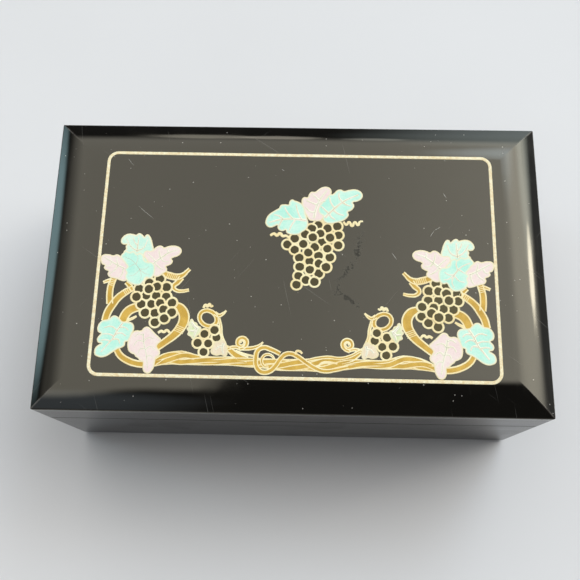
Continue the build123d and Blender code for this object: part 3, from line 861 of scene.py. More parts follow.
small_stems = [
    [(-36.2, -24.9, 2.2), (-34.2, -26.0, 2.0), (-32.6, -25.2, 1.6), (-31.0, -23.6, 0.9)],
    [(-34.2, -27.2, 1.5), (-33.2, -31.0, 1.6), (-32.7, -35.0, 1.6), (-31.6, -37.8, 1.6)],
    [(-30.4, -40.2, 2.0), (-28.2, -42.0, 3.0), (-25.2, -44.2, 3.4), (-20.6, -45.8, 3.0)],
    [(-29.6, -41.0, 1.8), (-26.6, -40.3, 1.8), (-24.0, -40.8, 1.9)],
]
curl = [(-23.3 + r * math.cos(math.radians(a)), -38.1 + r * math.sin(math.radians(a)), w)
        for r, a, w in ((3.4, 250, 1.6), (2.3, 290, 2.0), (2.1, 345, 2.1), (2.05, 45, 2.1),
                        (2.05, 105, 2.1), (2.05, 165, 2.1), (2.0, 225, 2.0), (1.5, 285, 1.6),
                        (1.0, 350, 1.2), (0.9, 60, 1.0), (0.8, 140, 0.9), (0.5, 220, 0.8))]
left_strand = [[(-24.6, -40.9, 1.8), (-20.6, -40.8, 2.0), (-17.4, -40.2, 1.8), (-15.2, -39.0, 1.4),
                (-14.0, -37.7, 0.8)],
               [(-26.0, -41.9, 1.0), (-22.4, -43.2, 1.0), (-18.0, -44.2, 1.0)]]


def made_stems(name, carrier, tree=painted_stem, **values):
    """Paints stems in ochre with cream lines."""
    made(name, carrier, tree, "lid", Fill_Paint=ochre_gold, Line_Paint=cream_gold, **values)


made_stems("painted_stems", drawn(both_sides(side_stems + small_stems)))
made_stems("painted_stem_rings", drawn(both_sides([ring_loop]), closed=True),
           Height=0.000026, Line_Height=0.000034, Line_Width=0.7)
made_stems("painted_curls", drawn(both_sides([curl]) + left_strand),
           Height=0.00003, Line_Height=0.00004, Line_Width=0.7)

# %% [markdown]
# The foot of the picture is the twisted rope, with one strand that loops and ties a knot left of the middle.
# A guide point's third number is half the width of the rope there.

# %% Twisted foot of the vine and its knot
guide = [(-61.4, -48.0, 1.7), (-57, -46.3, 2.7), (-50, -45.6, 3.3), (-43, -46.4, 2.4), (-36, -46.7, 2.0),
         (-28, -46.6, 2.1), (-21, -47, 2.2), (-15, -47.2, 2.3), (-6, -47.8, 2.7), (5, -47.6, 2.8),
         (13, -47.4, 3.4), (20, -47.2, 2.7), (30, -46.6, 2.0), (40, -46.8, 2.1), (48, -45.6, 3.2),
         (55, -46.2, 2.8), (61.4, -48.0, 1.7)]
made_stems("painted_twisted_foot", drawn([guide]), twisted_stems)
knot_strokes = [
    [(-6.3, -42.9, 2.2), (-10.5, -41.0, 2.4), (-13.7, -40.2, 2.4), (-16.2, -41.6, 2.4), (-17.0, -45, 2.4),
     (-16.7, -48.4, 2.4), (-15.2, -50.6, 2.5), (-13, -51.3, 2.5), (-10.2, -50.4, 2.5), (-8.0, -48.0, 2.5),
     (-6.0, -45, 2.4), (-4.2, -43.2, 2.4), (-1.6, -42.7, 2.3), (1.2, -43.8, 2.3), (5.0, -46.4, 2.3),
     (9.3, -49.0, 2.3), (13.2, -50.2, 2.2), (18.0, -49.6, 2.0), (23.8, -48.2, 1.8)],
    [(-8.8, -45.4, 1.0), (-9.9, -43.9, 1.3), (-12.2, -43.3, 1.5), (-14.0, -44.6, 1.6), (-14.3, -46.8, 1.6),
     (-13.2, -48.5, 1.5), (-11.2, -48.8, 1.2)],
    [(0.4, -43.0, 1.0), (0.9, -41.6, 1.1), (2.3, -41.6, 1.2), (3.4, -42.6, 1.0)],
    [(5.2, -45.7, 1.4), (10, -44.6, 1.6), (14.9, -44.0, 1.7), (20.0, -44.4, 1.6), (24.4, -43.4, 1.6),
     (28.8, -41.0, 1.4)],
    [(10.6, -48.0, 1.0), (12.4, -46.4, 1.0), (15.4, -46.2, 1.0), (19, -46.8, 1.0)],
]
made_stems("painted_knot", drawn(knot_strokes), Height=0.00005, Line_Height=0.00006, Line_Width=0.7)

# %% [markdown]
# The leaves are lobed like vine leaves. Each is a patch of pastel, a pale outline and a few fine veins.
# The outline stands on the lacquer beside the patch and is a little higher, so it shows from both sides.
# Where leaves overlap, the one in front is laid higher.

# %% Leaves
def counter_clockwise(outline):
    """The outline, turned round if it runs clockwise."""
    area = sum(a[0] * b[1] - b[0] * a[1] for a, b in zip(outline, outline[1:] + outline[:1]))
    return outline if area > 0 else outline[::-1]


mint_back = [
    [(-81.0, 7.9), (-81.2, 9.3), (-80.5, 10.7), (-79.4, 11.7), (-77.8, 12.2), (-76.0, 12.0), (-74.5, 11.7),
     (-73.4, 12.5), (-72.3, 12.2), (-71.4, 11.4), (-70.6, 10.8), (-70.0, 11.7), (-69.2, 12.0),
     (-68.3, 11.2), (-67.4, 9.4), (-66.8, 7.5), (-66.2, 5.2), (-66.4, 2.0), (-68.0, -1.0), (-72.0, -2.0),
     (-76.0, 0.0), (-79.2, 1.6), (-79.4, 3.6), (-78.5, 4.8), (-78.8, 6.2), (-78.3, 7.1), (-79.8, 7.2)]]
mint_front = [
    [(-80.7, 1.1), (-79.9, 2.6), (-78.6, 3.7), (-77.0, 3.2), (-75.0, 3.6), (-73.4, 2.4), (-72.0, 2.9),
     (-70.4, 1.6), (-70.0, -0.2), (-68.6, -1.3), (-66.4, -1.5), (-65.0, -3.0), (-64.7, -5.2), (-65.1, -7.6),
     (-66.6, -9.0), (-68.4, -8.8), (-69.3, -10.4), (-70.9, -12.1), (-73.0, -12.3), (-75.3, -11.5),
     (-77.0, -10.2), (-77.9, -8.3), (-77.5, -6.5), (-78.2, -5.2), (-77.3, -3.7), (-78.2, -2.4),
     (-79.4, -0.7)]]
mint_low = [
    [(-81.8, -27.3), (-80.4, -27.3), (-79.0, -28.4), (-77.6, -29.7), (-75.5, -29.9), (-73.5, -30.2),
     (-72.5, -31.1), (-72.1, -32.5), (-72.3, -33.8), (-72.9, -35.3), (-73.1, -37.0), (-74.0, -38.3),
     (-75.4, -38.9), (-75.6, -40.4), (-76.7, -41.4), (-78.2, -41.9), (-79.7, -42.9), (-81.2, -44.0),
     (-82.9, -45.2), (-85.0, -45.9), (-87.0, -45.6), (-88.3, -44.7), (-88.5, -43.2), (-88.0, -41.6),
     (-86.8, -40.6), (-85.8, -39.8), (-87.2, -39.3), (-87.8, -38.2), (-87.5, -37.0), (-86.9, -36.2),
     (-86.3, -35.4), (-87.6, -34.5), (-88.1, -33.3), (-88.0, -31.9), (-87.4, -30.6), (-86.1, -29.4),
     (-84.4, -29.1), (-83.2, -28.5)]]
pink_high = [
    [(-89.2, 1.5), (-86.6, 1.9), (-84.2, 1.4), (-82.6, 1.9), (-81.3, 1.3), (-79.4, -0.4), (-76.5, -4.0),
     (-76.8, -9.0), (-77.8, -10.4), (-79.6, -10.3), (-81.6, -9.6), (-83.6, -9.1), (-85.1, -8.6),
     (-85.9, -7.3), (-85.6, -6.0), (-86.9, -5.4), (-87.9, -4.4), (-87.6, -3.2), (-88.9, -2.6),
     (-89.6, -1.2), (-89.8, 0.4)],
    [(-70.0, 3.6), (-68.8, 4.2), (-67.4, 4.1), (-66.1, 4.5), (-65.1, 5.6), (-63.7, 6.5), (-62.4, 6.5),
     (-61.2, 5.7), (-59.5, 6.3), (-57.4, 6.7), (-55.3, 6.5), (-53.9, 5.8), (-53.2, 4.5), (-53.6, 3.0),
     (-54.9, 1.9), (-56.6, 1.3), (-57.6, 0.5), (-57.0, -0.5), (-57.3, -1.7), (-58.6, -2.6), (-59.8, -3.3),
     (-59.3, -4.4), (-59.4, -5.5), (-60.8, -6.5), (-62.0, -7.6), (-63.8, -8.2), (-66.0, -7.0),
     (-67.0, -3.0), (-69.0, 0.0), (-70.2, 1.6)]]
pink_low = [
    [(-71.8, -34.2), (-70.5, -33.8), (-69.0, -33.9), (-68.1, -33.5), (-67.5, -32.6), (-66.3, -32.0),
     (-65.1, -32.4), (-63.9, -33.5), (-62.4, -35.0), (-60.8, -36.4), (-59.6, -37.9), (-60.6, -39.2),
     (-61.3, -40.5), (-60.6, -41.9), (-59.7, -43.1), (-60.0, -44.6), (-61.2, -45.7), (-61.6, -47.7),
     (-61.8, -49.6), (-62.7, -51.6), (-63.8, -52.6), (-65.2, -52.5), (-66.2, -51.4), (-66.5, -49.6),
     (-66.6, -47.8), (-67.9, -47.2), (-68.9, -46.0), (-70.0, -45.3), (-70.7, -44.4), (-72.0, -43.9),
     (-73.2, -43.0), (-73.9, -41.2), (-74.0, -38.8), (-73.5, -36.9), (-72.8, -35.3)]]
mint_middle = [
    [(-14.6, 20.1), (-14.5, 18.5), (-13.4, 17.2), (-11.9, 17.0), (-10.4, 17.7), (-9.1, 18.1), (-8.9, 16.6),
     (-8.0, 15.6), (-6.7, 15.3), (-5.2, 15.8), (-4.8, 14.5), (-3.3, 13.7), (-1.5, 13.5), (0.8, 13.8),
     (2.2, 14.9), (3.5, 15.8), (4.5, 17.2), (4.8, 19.5), (4.2, 21.8), (3.6, 24.0), (3.1, 26.7), (1.7, 28.8),
     (-0.1, 29.8), (-1.5, 30.3), (-2.7, 30.8), (-3.7, 29.9), (-4.1, 28.3), (-6.0, 28.3), (-7.8, 27.9),
     (-8.6, 26.4), (-10.1, 25.4), (-11.9, 24.2), (-13.5, 22.7)],
    [(15.4, 33.9), (16.1, 33.8), (17.2, 34.6), (18.3, 35.8), (19.9, 36.3), (21.6, 35.6), (24.0, 36.2),
     (26.7, 36.5), (29.0, 35.7), (30.1, 34.0), (29.7, 32.2), (27.7, 30.8), (25.5, 30.0), (26.1, 28.7),
     (25.8, 27.2), (24.6, 26.0), (23.3, 25.3), (23.6, 23.7), (22.6, 22.0), (20.8, 20.8), (18.1, 19.9),
     (15.4, 19.4), (13.1, 19.9), (12.0, 21.3), (12.0, 23.0), (10.4, 24.2), (9.7, 25.8), (10.1, 27.6),
     (11.3, 29.5), (13.1, 31.7)]]
pink_middle = [
    [(2.1, 29.0), (2.0, 30.8), (2.9, 32.1), (4.6, 32.1), (5.4, 33.8), (6.4, 34.9), (8.1, 34.9), (9.5, 36.0),
     (11.3, 37.2), (13.1, 37.6), (14.8, 37.0), (15.5, 35.6), (15.3, 34.0), (13.6, 31.0), (12.4, 26.0),
     (12.0, 22.4), (11.2, 21.1), (9.5, 20.5), (7.6, 20.6), (5.8, 20.9), (4.8, 22.2), (3.4, 24.6),
     (2.4, 27.0)]]
small_green = [[(-46.4, -28.0), (-45.3, -29.3), (-44.2, -29.7), (-43.5, -31.0), (-42.2, -31.7),
                (-42.2, -33.6), (-43.8, -35.6), (-45.1, -36.9), (-46.3, -35.7), (-47.6, -34.9),
                (-47.3, -33.6), (-48.1, -32.4), (-47.4, -31.3), (-47.9, -30.0), (-47.1, -29.2)]]
small_cream = [[(-32.1, -36.9), (-30.2, -39.6), (-29.8, -42.2), (-30.4, -44.3), (-32.4, -43.7),
                (-34.6, -44.1), (-36.9, -42.6), (-36.2, -40.6), (-35.2, -38.2), (-33.4, -37.8)]]
leaves = {
    "mint_back": (pale_mint, both_sides(mint_back), 0.000084),
    "pink_high": (pink_paint, both_sides(pink_high) + pink_middle, 0.000091),
    "mint_front": (mint_paint, both_sides(mint_front) + mint_middle, 0.000098),
    "mint_low": (mint_paint, both_sides(mint_low), 0.000084),
    "pink_low": (pink_paint, both_sides(pink_low), 0.000094),
    "green_small": (green_paint, both_sides(small_green), 0.000036),
    "cream_small": (cream_paint, both_sides(small_cream), 0.000088),
}
for kind, (colour, outlines, top) in leaves.items():
    outlines = [counter_clockwise(outline) for outline in outlines]
    made("painted_leaves_" + kind, drawn(outlines, 1.0, closed=True), leaf_patch, "lid",
         Paint=colour, Top=top)
    made("painted_leaf_edges_" + kind, drawn(outlines, 0.6, closed=True), brush_line, "lid",
         Paint=leaf_edge, Height=top + 0.000007)

# %% [markdown]
# Each leaf has a midrib that gets finer to the tip, and side ribs that start part of the way along it.
# Every rib is painted twice: first broad and pale, then thin and darker on top of that.

# %% Veins
midrib_width, midrib_loss = 0.48, 0.24
branch_root, branch_width, branch_loss = 0.36, 0.34, 0.14
light_over_vein = 4.0


def ribs(midrib, *branches):
    """A midrib, and branches given as a share of the way along it and the points they bend through."""
    last = len(midrib) - 1
    strokes = [[(x, y, midrib_width - midrib_loss * k / last) for k, (x, y) in enumerate(midrib)]]
    for share, *bends in branches:
        start = part_way(midrib, share)[1]
        finer = [(x, y, branch_width - branch_loss * (n + 1) / len(bends)) for n, (x, y) in enumerate(bends)]
        strokes.append([(*start, branch_root)] + finer)
    return strokes


veins = both_sides(
    ribs([(-71.4, -5.2), (-72.6, -3.6), (-75.2, -0.8), (-79.4, 1.2)], (0.05, (-74.0, -7.6), (-76.4, -8.2)),
         (0.05, (-70.6, -8.4), (-71.6, -11.0)), (0.1, (-69.0, -4.6), (-67.4, -3.4)),
         (0.0, (-68.6, -7.0), (-66.8, -7.2)), (0.5, (-75.8, -3.4), (-76.6, -4.0)),
         (0.45, (-72.8, 0.6), (-73.2, 2.0)))
    + ribs([(-73.6, 3.4), (-73.4, 6.6), (-73.2, 10.8)], (0.1, (-76.4, 6.0), (-78.8, 9.8)),
           (0.1, (-70.6, 5.6), (-69.0, 9.8)), (0.5, (-75.0, 8.4), (-75.8, 10.6)))
    + ribs([(-77.2, -30.4), (-79.3, -33.8), (-80.9, -37.3), (-83.2, -40.4), (-85.7, -43.7)],
           (0.25, (-82.0, -32.0), (-85.3, -32.6)), (0.45, (-82.4, -35.6), (-85.6, -35.5)),
           (0.62, (-83.9, -38.2), (-86.2, -38.4)), (0.15, (-76.0, -32.3), (-74.3, -33.6)),
           (0.38, (-77.6, -34.9), (-75.2, -36.2)), (0.55, (-78.6, -37.9), (-77.6, -39.8)))
    + ribs([(-67.5, -35.0), (-67.0, -39.2), (-65.8, -43.1), (-65.1, -46.5), (-64.5, -50.6)],
           (0.22, (-65.2, -36.8), (-62.6, -37.4)), (0.22, (-69.6, -38.2), (-71.4, -40.6)),
           (0.42, (-68.2, -42.0), (-69.2, -44.2)), (0.45, (-64.0, -40.8), (-61.8, -42.4)),
           (0.66, (-63.4, -45.0), (-62.4, -46.2)), (0.05, (-69.4, -35.2), (-71.2, -36.4)))
    + ribs([(-78.6, -4.6), (-82.0, -3.0), (-85.4, -1.0), (-88.4, 0.6)], (0.3, (-82.4, -0.8), (-82.8, 0.8)),
           (0.3, (-82.8, -5.2), (-85.0, -7.2)), (0.6, (-85.6, -3.2), (-87.0, -3.8)),
           (0.05, (-79.4, -7.2), (-80.4, -9.0)))
    + ribs([(-65.6, -2.0), (-62.0, 1.0), (-58.4, 3.6), (-54.8, 4.8)], (0.1, (-66.4, 1.0), (-68.6, 2.8)),
           (0.3, (-63.2, 3.4), (-63.4, 5.2)), (0.3, (-60.8, -0.8), (-58.4, -1.0)),
           (0.05, (-63.0, -3.6), (-60.8, -4.8)), (0.62, (-59.4, 4.6), (-59.0, 5.4)))
    + ribs([(-43.4, -32.4), (-45.0, -31.0), (-46.3, -29.2)], (0.1, (-45.0, -33.2), (-47.0, -33.2)),
           (0.1, (-44.4, -34.2), (-45.0, -35.8)))
    + ribs([(-31.6, -38.6), (-32.0, -41.0), (-31.4, -43.4)], (0.3, (-33.4, -40.2), (-35.0, -41.8)))
)
veins += ribs([(4.0, 20.6), (-1.6, 21.2), (-7.8, 20.8), (-13.2, 19.2)], (0.12, (0.4, 24.0), (-0.8, 28.4)),
              (0.36, (-4.6, 24.2), (-6.2, 27.0)), (0.6, (-8.6, 22.6), (-11.0, 23.2)),
              (0.28, (-2.6, 18.2), (-3.8, 15.2)), (0.62, (-8.0, 18.8), (-8.4, 17.2)))
veins += ribs([(7.6, 21.8), (8.6, 26.6), (10.6, 31.6), (13.6, 36.0)], (0.2, (6.0, 25.0), (3.6, 27.2)),
              (0.45, (7.0, 29.4), (4.0, 30.6)), (0.6, (8.4, 32.4), (6.8, 33.6)),
              (0.5, (11.8, 30.2), (13.0, 30.6)))
veins += ribs([(12.8, 22.2), (17.0, 26.6), (22.0, 30.8), (28.4, 34.0)], (0.15, (12.4, 26.4), (11.0, 27.8)),
              (0.35, (15.4, 30.0), (14.8, 32.6)), (0.6, (19.2, 32.8), (19.4, 34.9)),
              (0.3, (18.6, 24.4), (21.6, 23.4)), (0.15, (15.8, 22.4), (17.6, 21.2)),
              (0.6, (23.2, 28.6), (24.8, 28.2)))
broad_ribs = [[(x, y, light_over_vein * width) for x, y, width in rib] for rib in veins]
made("painted_rib_lights", drawn(broad_ribs), brush_line, "lid", Paint=rib_light, Height=0.000104)
made("painted_veins", drawn(veins), brush_line, "lid", Paint=vein_paint, Height=0.000118)

# %% [markdown]
# Short lines cross the stems where they grow out of the leaves, and small tendrils curl off.

# %% Collars and tendrils
def collar(stroke, share, count, pitch=0.85):
    """Short lines across a stem, from a share of the way along its points."""
    line_width, inset = 0.4, 0.15
    k, (x, y, width) = part_way(stroke, share)
    along = Vector((stroke[k + 1][0] - stroke[k][0], stroke[k + 1][1] - stroke[k][1])).normalized()
    over = Vector((-along.y, along.x)) * (width / 2 - inset)
    middles = [Vector((x, y)) + along * pitch * n for n in range(count)]
    return [[(*(middle - over), line_width), (*(middle + over), line_width)] for middle in middles]


collars = both_sides(collar(side_stems[3], 0.55, 4) + collar(side_stems[5], 0.14, 6)
                     + collar(side_stems[0], 0.12, 4) + collar(side_stems[1], 0.10, 4))
tendrils = both_sides([[(-61.0, -34.5, 1.2), (-59.6, -33.7, 1.4), (-58.4, -34.1, 1.3), (-57.2, -33.3, 1.4),
                        (-55.8, -34.4, 1.1)],
                       [(-41.4, -22.6, 1.2), (-40.5, -21.2, 1.4), (-39.6, -21.9, 1.4), (-38.8, -20.8, 1.4),
                        (-38.0, -21.8, 1.2), (-37.0, -21.4, 0.9)]])
tendrils += [[(21.4, 20.3, 1.1), (22.7, 18.8, 1.3), (24.0, 20.2, 1.2), (25.4, 18.2, 1.3), (26.7, 20.2, 1.2),
              (28.1, 18.7, 1.3), (29.0, 20.4, 1.1), (30.5, 20.6, 0.8)],
             [(-12.4, 12.8, 1.2), (-10.6, 13.7, 1.5), (-9.4, 12.8, 1.4), (-8.0, 13.9, 1.6),
              (-6.6, 12.6, 1.5), (-5.2, 12.8, 1.3), (-3.8, 12.0, 1.2)],
             [(9.0, 20.8, 1.0), (11.0, 21.4, 1.2), (12.4, 19.4, 1.0)]]
made("painted_collars_and_tendrils", drawn(collars + tendrils), brush_line, "lid", Paint=cream_gold,
     Height=0.000042)

# %% [markdown]
# Velvet is a short pile that stands on a woven ground. It is dark where one looks into the pile and light
# where the pile lies over, which sheen gives, and stroking it leaves slow paler patches. The group gives
# those patches, and a height for the tips of the pile.

# %% Group: pile
tree, given, sink = shader_group("pile", ("Stroked", "Tips"), Tuft=0.00035, Stroke=0.02)
place, tuft_scale = given["Vector"], 1.0 / given["Tuft"]
tufts = add(tree, "TexVoronoi", Vector=place, Scale=tuft_scale)
patches = noise(place, 1.0 / given["Stroke"], 3.0, 1.2) * 0.7 + noise(place, tuft_scale, 2.0) * 0.3
pile = done(sink, Stroked=ramp(patches, 0.38, 0.64), Tips=1.0 - tufts["Distance"])


def pile_cloth(name, deep, pale, tuft, stroke, sheen, tint):
    """A pile fabric between a deep and a pale tone."""
    finish, shader, place = new_finish(name, Sheen_Weight=sheen, Sheen_Roughness=0.35,
                                       Sheen_Tint=(*tint, 1), Specular_IOR_Level=0.15)
    cloth = use_group(place.tree, pile, Vector=place, Tuft=tuft, Stroke=stroke)
    stroked = cloth["Stroked"]
    feed(shader, Base_Color=blend(stroked, deep, pale), Roughness=ramp(stroked, 0.0, 1.0, 0.95, 0.8))
    bumped(shader, cloth["Tips"], 0.5, 0.00015)
    return finish


velvet = pile_cloth("red_velvet", (0.15, 0.006, 0.011), (0.30, 0.016, 0.026), 0.00035, 0.018, 0.6,
                    (1.0, 0.55, 0.55))
felt = pile_cloth("black_felt", (0.010, 0.010, 0.011), (0.028, 0.027, 0.028), 0.0008, 0.009, 0.25,
                  (0.8, 0.8, 0.8))

# %% [markdown]
# The walls, dividers and shelf are stiff card or board with velvet drawn round them, so they keep straight
# lines but have no sharp corner anywhere. A copy of each solid is cleaned, and its edges are rounded by
# the thickness of the cloth.

# %% Velvet-wrapped cards
def smoothed(mesh, sharp_over):
    """A mesh that is shaded smooth except over edges sharper than an angle."""
    for face in mesh.polygons:
        face.use_smooth = True
    mesh.set_sharp_from_angle(angle=math.radians(sharp_over))
    return mesh


def wrapped(node, body, cloth, round_by):
    """A copy of a solid with its corners softened by the cloth round it."""
    shape = bmesh.new()
    shape.from_mesh(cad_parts[node].data)
    bmesh.ops.remove_doubles(shape, verts=shape.verts, dist=1e-6)
    bmesh.ops.dissolve_limit(shape, angle_limit=math.radians(1), verts=shape.verts, edges=shape.edges)
    sharp = [e for e in shape.edges if len(e.link_faces) == 2 and e.calc_face_angle() > math.radians(50)]
    bmesh.ops.bevel(shape, geom=sharp, offset=round_by, segments=3, profile=0.5, affect="EDGES",
                    clamp_overlap=True)
    mesh = bpy.data.meshes.new(node + "_cover")
    shape.to_mesh(mesh)
    shape.free()
    piece = new_piece(node + "_cover", smoothed(mesh, 45), body, cloth)
    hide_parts(node)


liners = ["liner_left", "liner_right", "liner_front", "liner_back"]
case_cards = liners + ["divider_ring", "divider_long", "divider_cross", "ring_shelf", "shelf_batten_front",
                       "shelf_batten_back"]
for node in case_cards:
    wrapped(node, "case", velvet, round_by=0.0005)
for node in liners:
    wrapped("lid_" + node, "lid", velvet, round_by=0.00045)
print("cards wrapped:", len(case_cards + liners))

# %% [markdown]
# A ring roll is velvet stuffed tight, and seven of them stand side by side so that a ring holds between two.
# One roll is shaped, then blown up a little with the cloth simulation, as stuffing does, with a cap on how
# far each point may move. A seam is pressed in near both ends afterwards.

# %% One ring roll, stuffed
roll_low, roll_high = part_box("ring_roll_1")
last_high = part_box("ring_roll_7")[1]
roll_middle = [(a + b) / 2 for a, b in zip(roll_low, roll_high)]
roll_half = [(b - a) / 2 for a, b in zip(roll_low, roll_high)]


def skinned(name, rings):
    """A closed mesh over rings that have equally many points."""
    count, last = len(rings[0]), len(rings) - 1
    faces = []
    for a in range(0, last * count, count):
        b = a + count
        faces += [(a + j, a + (j + 1) % count, b + (j + 1) % count, b + j) for j in range(count)]
    faces += [tuple(range(count))[::-1], tuple(last * count + j for j in range(count))]
    mesh = bpy.data.meshes.new(name)
    mesh.from_pydata([spot for ring in rings for spot in ring], [], faces)
    return mesh


def roll_mesh(stations=40, around=28, shrink=0.0007):
    """A closed roll with a flat foot and softly pulled-in ends, about the middle of the first roll."""
    rings = []
    for k in range(stations + 1):
        u = -1 + 2 * k / stations
        pull = 1 - 0.30 * abs(u) ** 9
        ring = []
        for j in range(around):
            angle = 2 * math.pi * j / around
            side, up = math.cos(angle), math.sin(angle)
            wide = math.copysign(abs(side) ** 0.72, side)
            tall = math.copysign(abs(up) ** (0.95 if up > 0 else 0.45), up)
            ring.append((roll_middle[0] + u * (roll_half[0] - shrink),
                         roll_middle[1] + wide * (roll_half[1] - shrink) * pull,
                         roll_middle[2] + tall * (roll_half[2] - shrink) * (pull if up > 0 else 1)))
        rings.append(ring)
    return skinned("ring_roll", rings)


def stuffed(mesh, voxel, cap, frames=20, pressure=4.0):
    """Blows a closed mesh up like a stuffed cover, no point moving further than cap."""
    shell = bpy.data.objects.new("shell", mesh)
    scene.collection.objects.link(shell)
    remesh = shell.modifiers.new("even", "REMESH")
    remesh.mode = "VOXEL"
    remesh.voxel_size = voxel
    even = plain_mesh(shell)
    shell.modifiers.remove(remesh)
    shell.data = even
    start = [v.co.copy() for v in even.vertices]
    cloth = shell.modifiers.new("stuffing", "CLOTH")
    cloth.settings.use_pressure = True
    cloth.settings.uniform_pressure_force = pressure
    cloth.settings.effector_weights.gravity = 0
    cloth.point_cache.frame_end = frames
    for k in range(1, frames + 1):
        scene.frame_set(k)
    blown = plain_mesh(shell)
    shell.modifiers.remove(cloth)
    for vertex, before in zip(blown.vertices, start):
        move = vertex.co - before
        if move.length > cap:
            vertex.co = before + move.normalized() * cap
    bpy.data.objects.remove(shell)
    scene.frame_set(1)
    return blown


roll = roll_mesh()
roll = stuffed(roll, voxel=0.0016, cap=0.0006)
seam_from_end, seam_width, seam_press, least_gap = 0.0035, 0.0006, 0.07, 0.00005
for vertex in roll.vertices:
    from_end = roll_half[0] - abs(vertex.co.x - roll_middle[0])
    press = seam_press * math.exp(-((from_end - seam_from_end) / seam_width) ** 2)
    for axis in (1, 2):
        vertex.co[axis] += (roll_middle[axis] - vertex.co[axis]) * press
    vertex.co.z = max(vertex.co.z, roll_low[2] + least_gap)
for face in roll.polygons:
    face.use_smooth = True
print("ring roll:", len(roll.polygons), "faces")

# %% [markdown]
# The other six rolls repeat the first, but no two stuffed rolls are alike. A tree sets the roll on a line of
# points, turns every other one end for end, and lets a slow noise push the cloth in and out a little.

# %% Geometry tree: row of rolls
tree, given, sink = geometry_tree("row of rolls", Count=7, Pitch=0.017, Middle="Vector", Unevenness=0.0003,
                                  Cloth="Material")
row = add(tree, "MeshLine", Count=given["Count"], Start_Location=given["Middle"],
          Offset=add(tree, "CombineXYZ", None, given["Pitch"]))
at_origin = add(tree, "Transform", Geometry=given["Geometry"],
                Translation=vector_calc("SCALE", given["Middle"], Scale=-1.0))
every_other = calc("MODULO", add(tree, "InputIndex"), 2.0) * math.pi
turned = add(tree, "EulerToRotation", add(tree, "CombineXYZ", None, None, every_other))
rolls = add(tree, "InstanceOnPoints", Points=row, Instance=at_origin, Rotation=turned)
push = (noise(add(tree, "InputPosition"), 110.0, 1.0) - 0.62) * given["Unevenness"]
uneven = shifted(add(tree, "RealizeInstances", rolls), along_normal(push))
row_of_rolls = done(sink, painted(uneven, given["Cloth"]))
pitch = (last_high[1] - roll_high[1]) / 6
rolls = made("ring_rolls_stuffed", bpy.data.objects.new("roll", roll), row_of_rolls, "case", Pitch=pitch,
             Middle=roll_middle, Unevenness=0.0012, Cloth=velvet)
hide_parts(*["ring_roll_%d" % k for k in range(1, 8)])

# %% [markdown]
# The bottom of each compartment is a thin pad, crowned between its walls and flat under the dividers that
# press on it. The lining of the lid swells in the same way between the mirror's frame and the walls. Both
# are only 3 mm thick, too thin to remesh and blow up, so their crowns are worked out point by point.

# %% Thin pads
def crowned_pad(name, node, body, crown, visible_top, sink_in=0.00003, grid=0.0016):
    """A closed slab in a node's place, whose visible face swells by crown(x, y)."""
    low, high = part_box(node)
    nx, ny = (round((high[axis] - low[axis]) / grid) for axis in (0, 1))
    front, back = [], []
    for j in range(ny + 1):
        for i in range(nx + 1):
            x = low[0] + (high[0] - low[0]) * i / nx
            y = low[1] + (high[1] - low[1]) * j / ny
            swell = crown(x, y)
            front.append((x, y, high[2] - sink_in + swell if visible_top else high[2]))
            back.append((x, y, low[2] if visible_top else low[2] + sink_in - swell))
    row, half = nx + 1, (nx + 1) * (ny + 1)
    faces = []
    for j in range(ny):
        for i in range(nx):
            a = j * row + i
            faces.append((a, a + 1, a + 1 + row, a + row))
            faces.append((half + a, half + a + row, half + a + 1 + row, half + a + 1))
    rim = [*range(row), *(j * row + nx for j in range(1, ny + 1)),
           *(ny * row + i for i in range(nx - 1, -1, -1)), *(j * row for j in range(ny - 1, 0, -1))]
    for a, b in zip(rim, rim[1:] + rim[:1]):
        faces.append((a, half + a, half + b, b))
    mesh = bpy.data.meshes.new(name)
    mesh.from_pydata(front + back, [], faces)
    piece = new_piece(name, smoothed(mesh, 60), body, velvet)
    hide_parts(node)


pad_low, pad_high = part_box("floor_pad")
ring_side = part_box("divider_ring")[1][0]
long_low, long_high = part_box("divider_long")
cross_low, cross_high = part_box("divider_cross")
bays = [(ring_side, long_high[1], pad_high[0], pad_high[1]),
        (ring_side, pad_low[1], cross_low[0], long_low[1]),
        (cross_high[0], pad_low[1], pad_high[0], long_low[1])]
floor_swell, ripple_height, lining_swell = 0.0008, 0.00008, 0.0016


def floor_crown(x, y):
    """How far the floor pad swells at a place."""
    for x0, y0, x1, y1 in bays:
        if x0 < x < x1 and y0 < y < y1:
            across = (2 * x - x0 - x1) / (x1 - x0)
            along = (2 * y - y0 - y1) / (y1 - y0)
            ripple = ripple_height * math.sin(x * 190 + math.sin(y * 160) * 1.7)
            return (floor_swell + ripple) * (1 - across ** 8) * (1 - along ** 8)
    return 0.0


trim_low, trim_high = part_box("mirror_trim_left")[0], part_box("mirror_trim_right")[1]
lining_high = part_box("lid_lining_board")[1]


def lining_crown(x, y):
    """How far the lid's lining swells at a place, between the mirror's frame and the walls."""
    outside = min(lining_high[0] - abs(x), lining_high[1] - abs(y))
    inside = max(abs(x) - trim_high[0], abs(y) - trim_high[1])
    if inside <= 0 or outside <= 0:
        return 0.0
    middle = (outside - inside) / (outside + inside)
    return lining_swell * (1 - middle * middle) ** 0.7


crowned_pad("floor_pad_crowned", "floor_pad", "case", floor_crown, True)
crowned_pad("lid_lining_crowned", "lid_lining_board", "lid", lining_crown, False)

# %% [markdown]
# The felt under the box is a cut sheet that is glued on. Scissors never cut quite straight, so its outline
# wanders a little, and its corners are rounded.

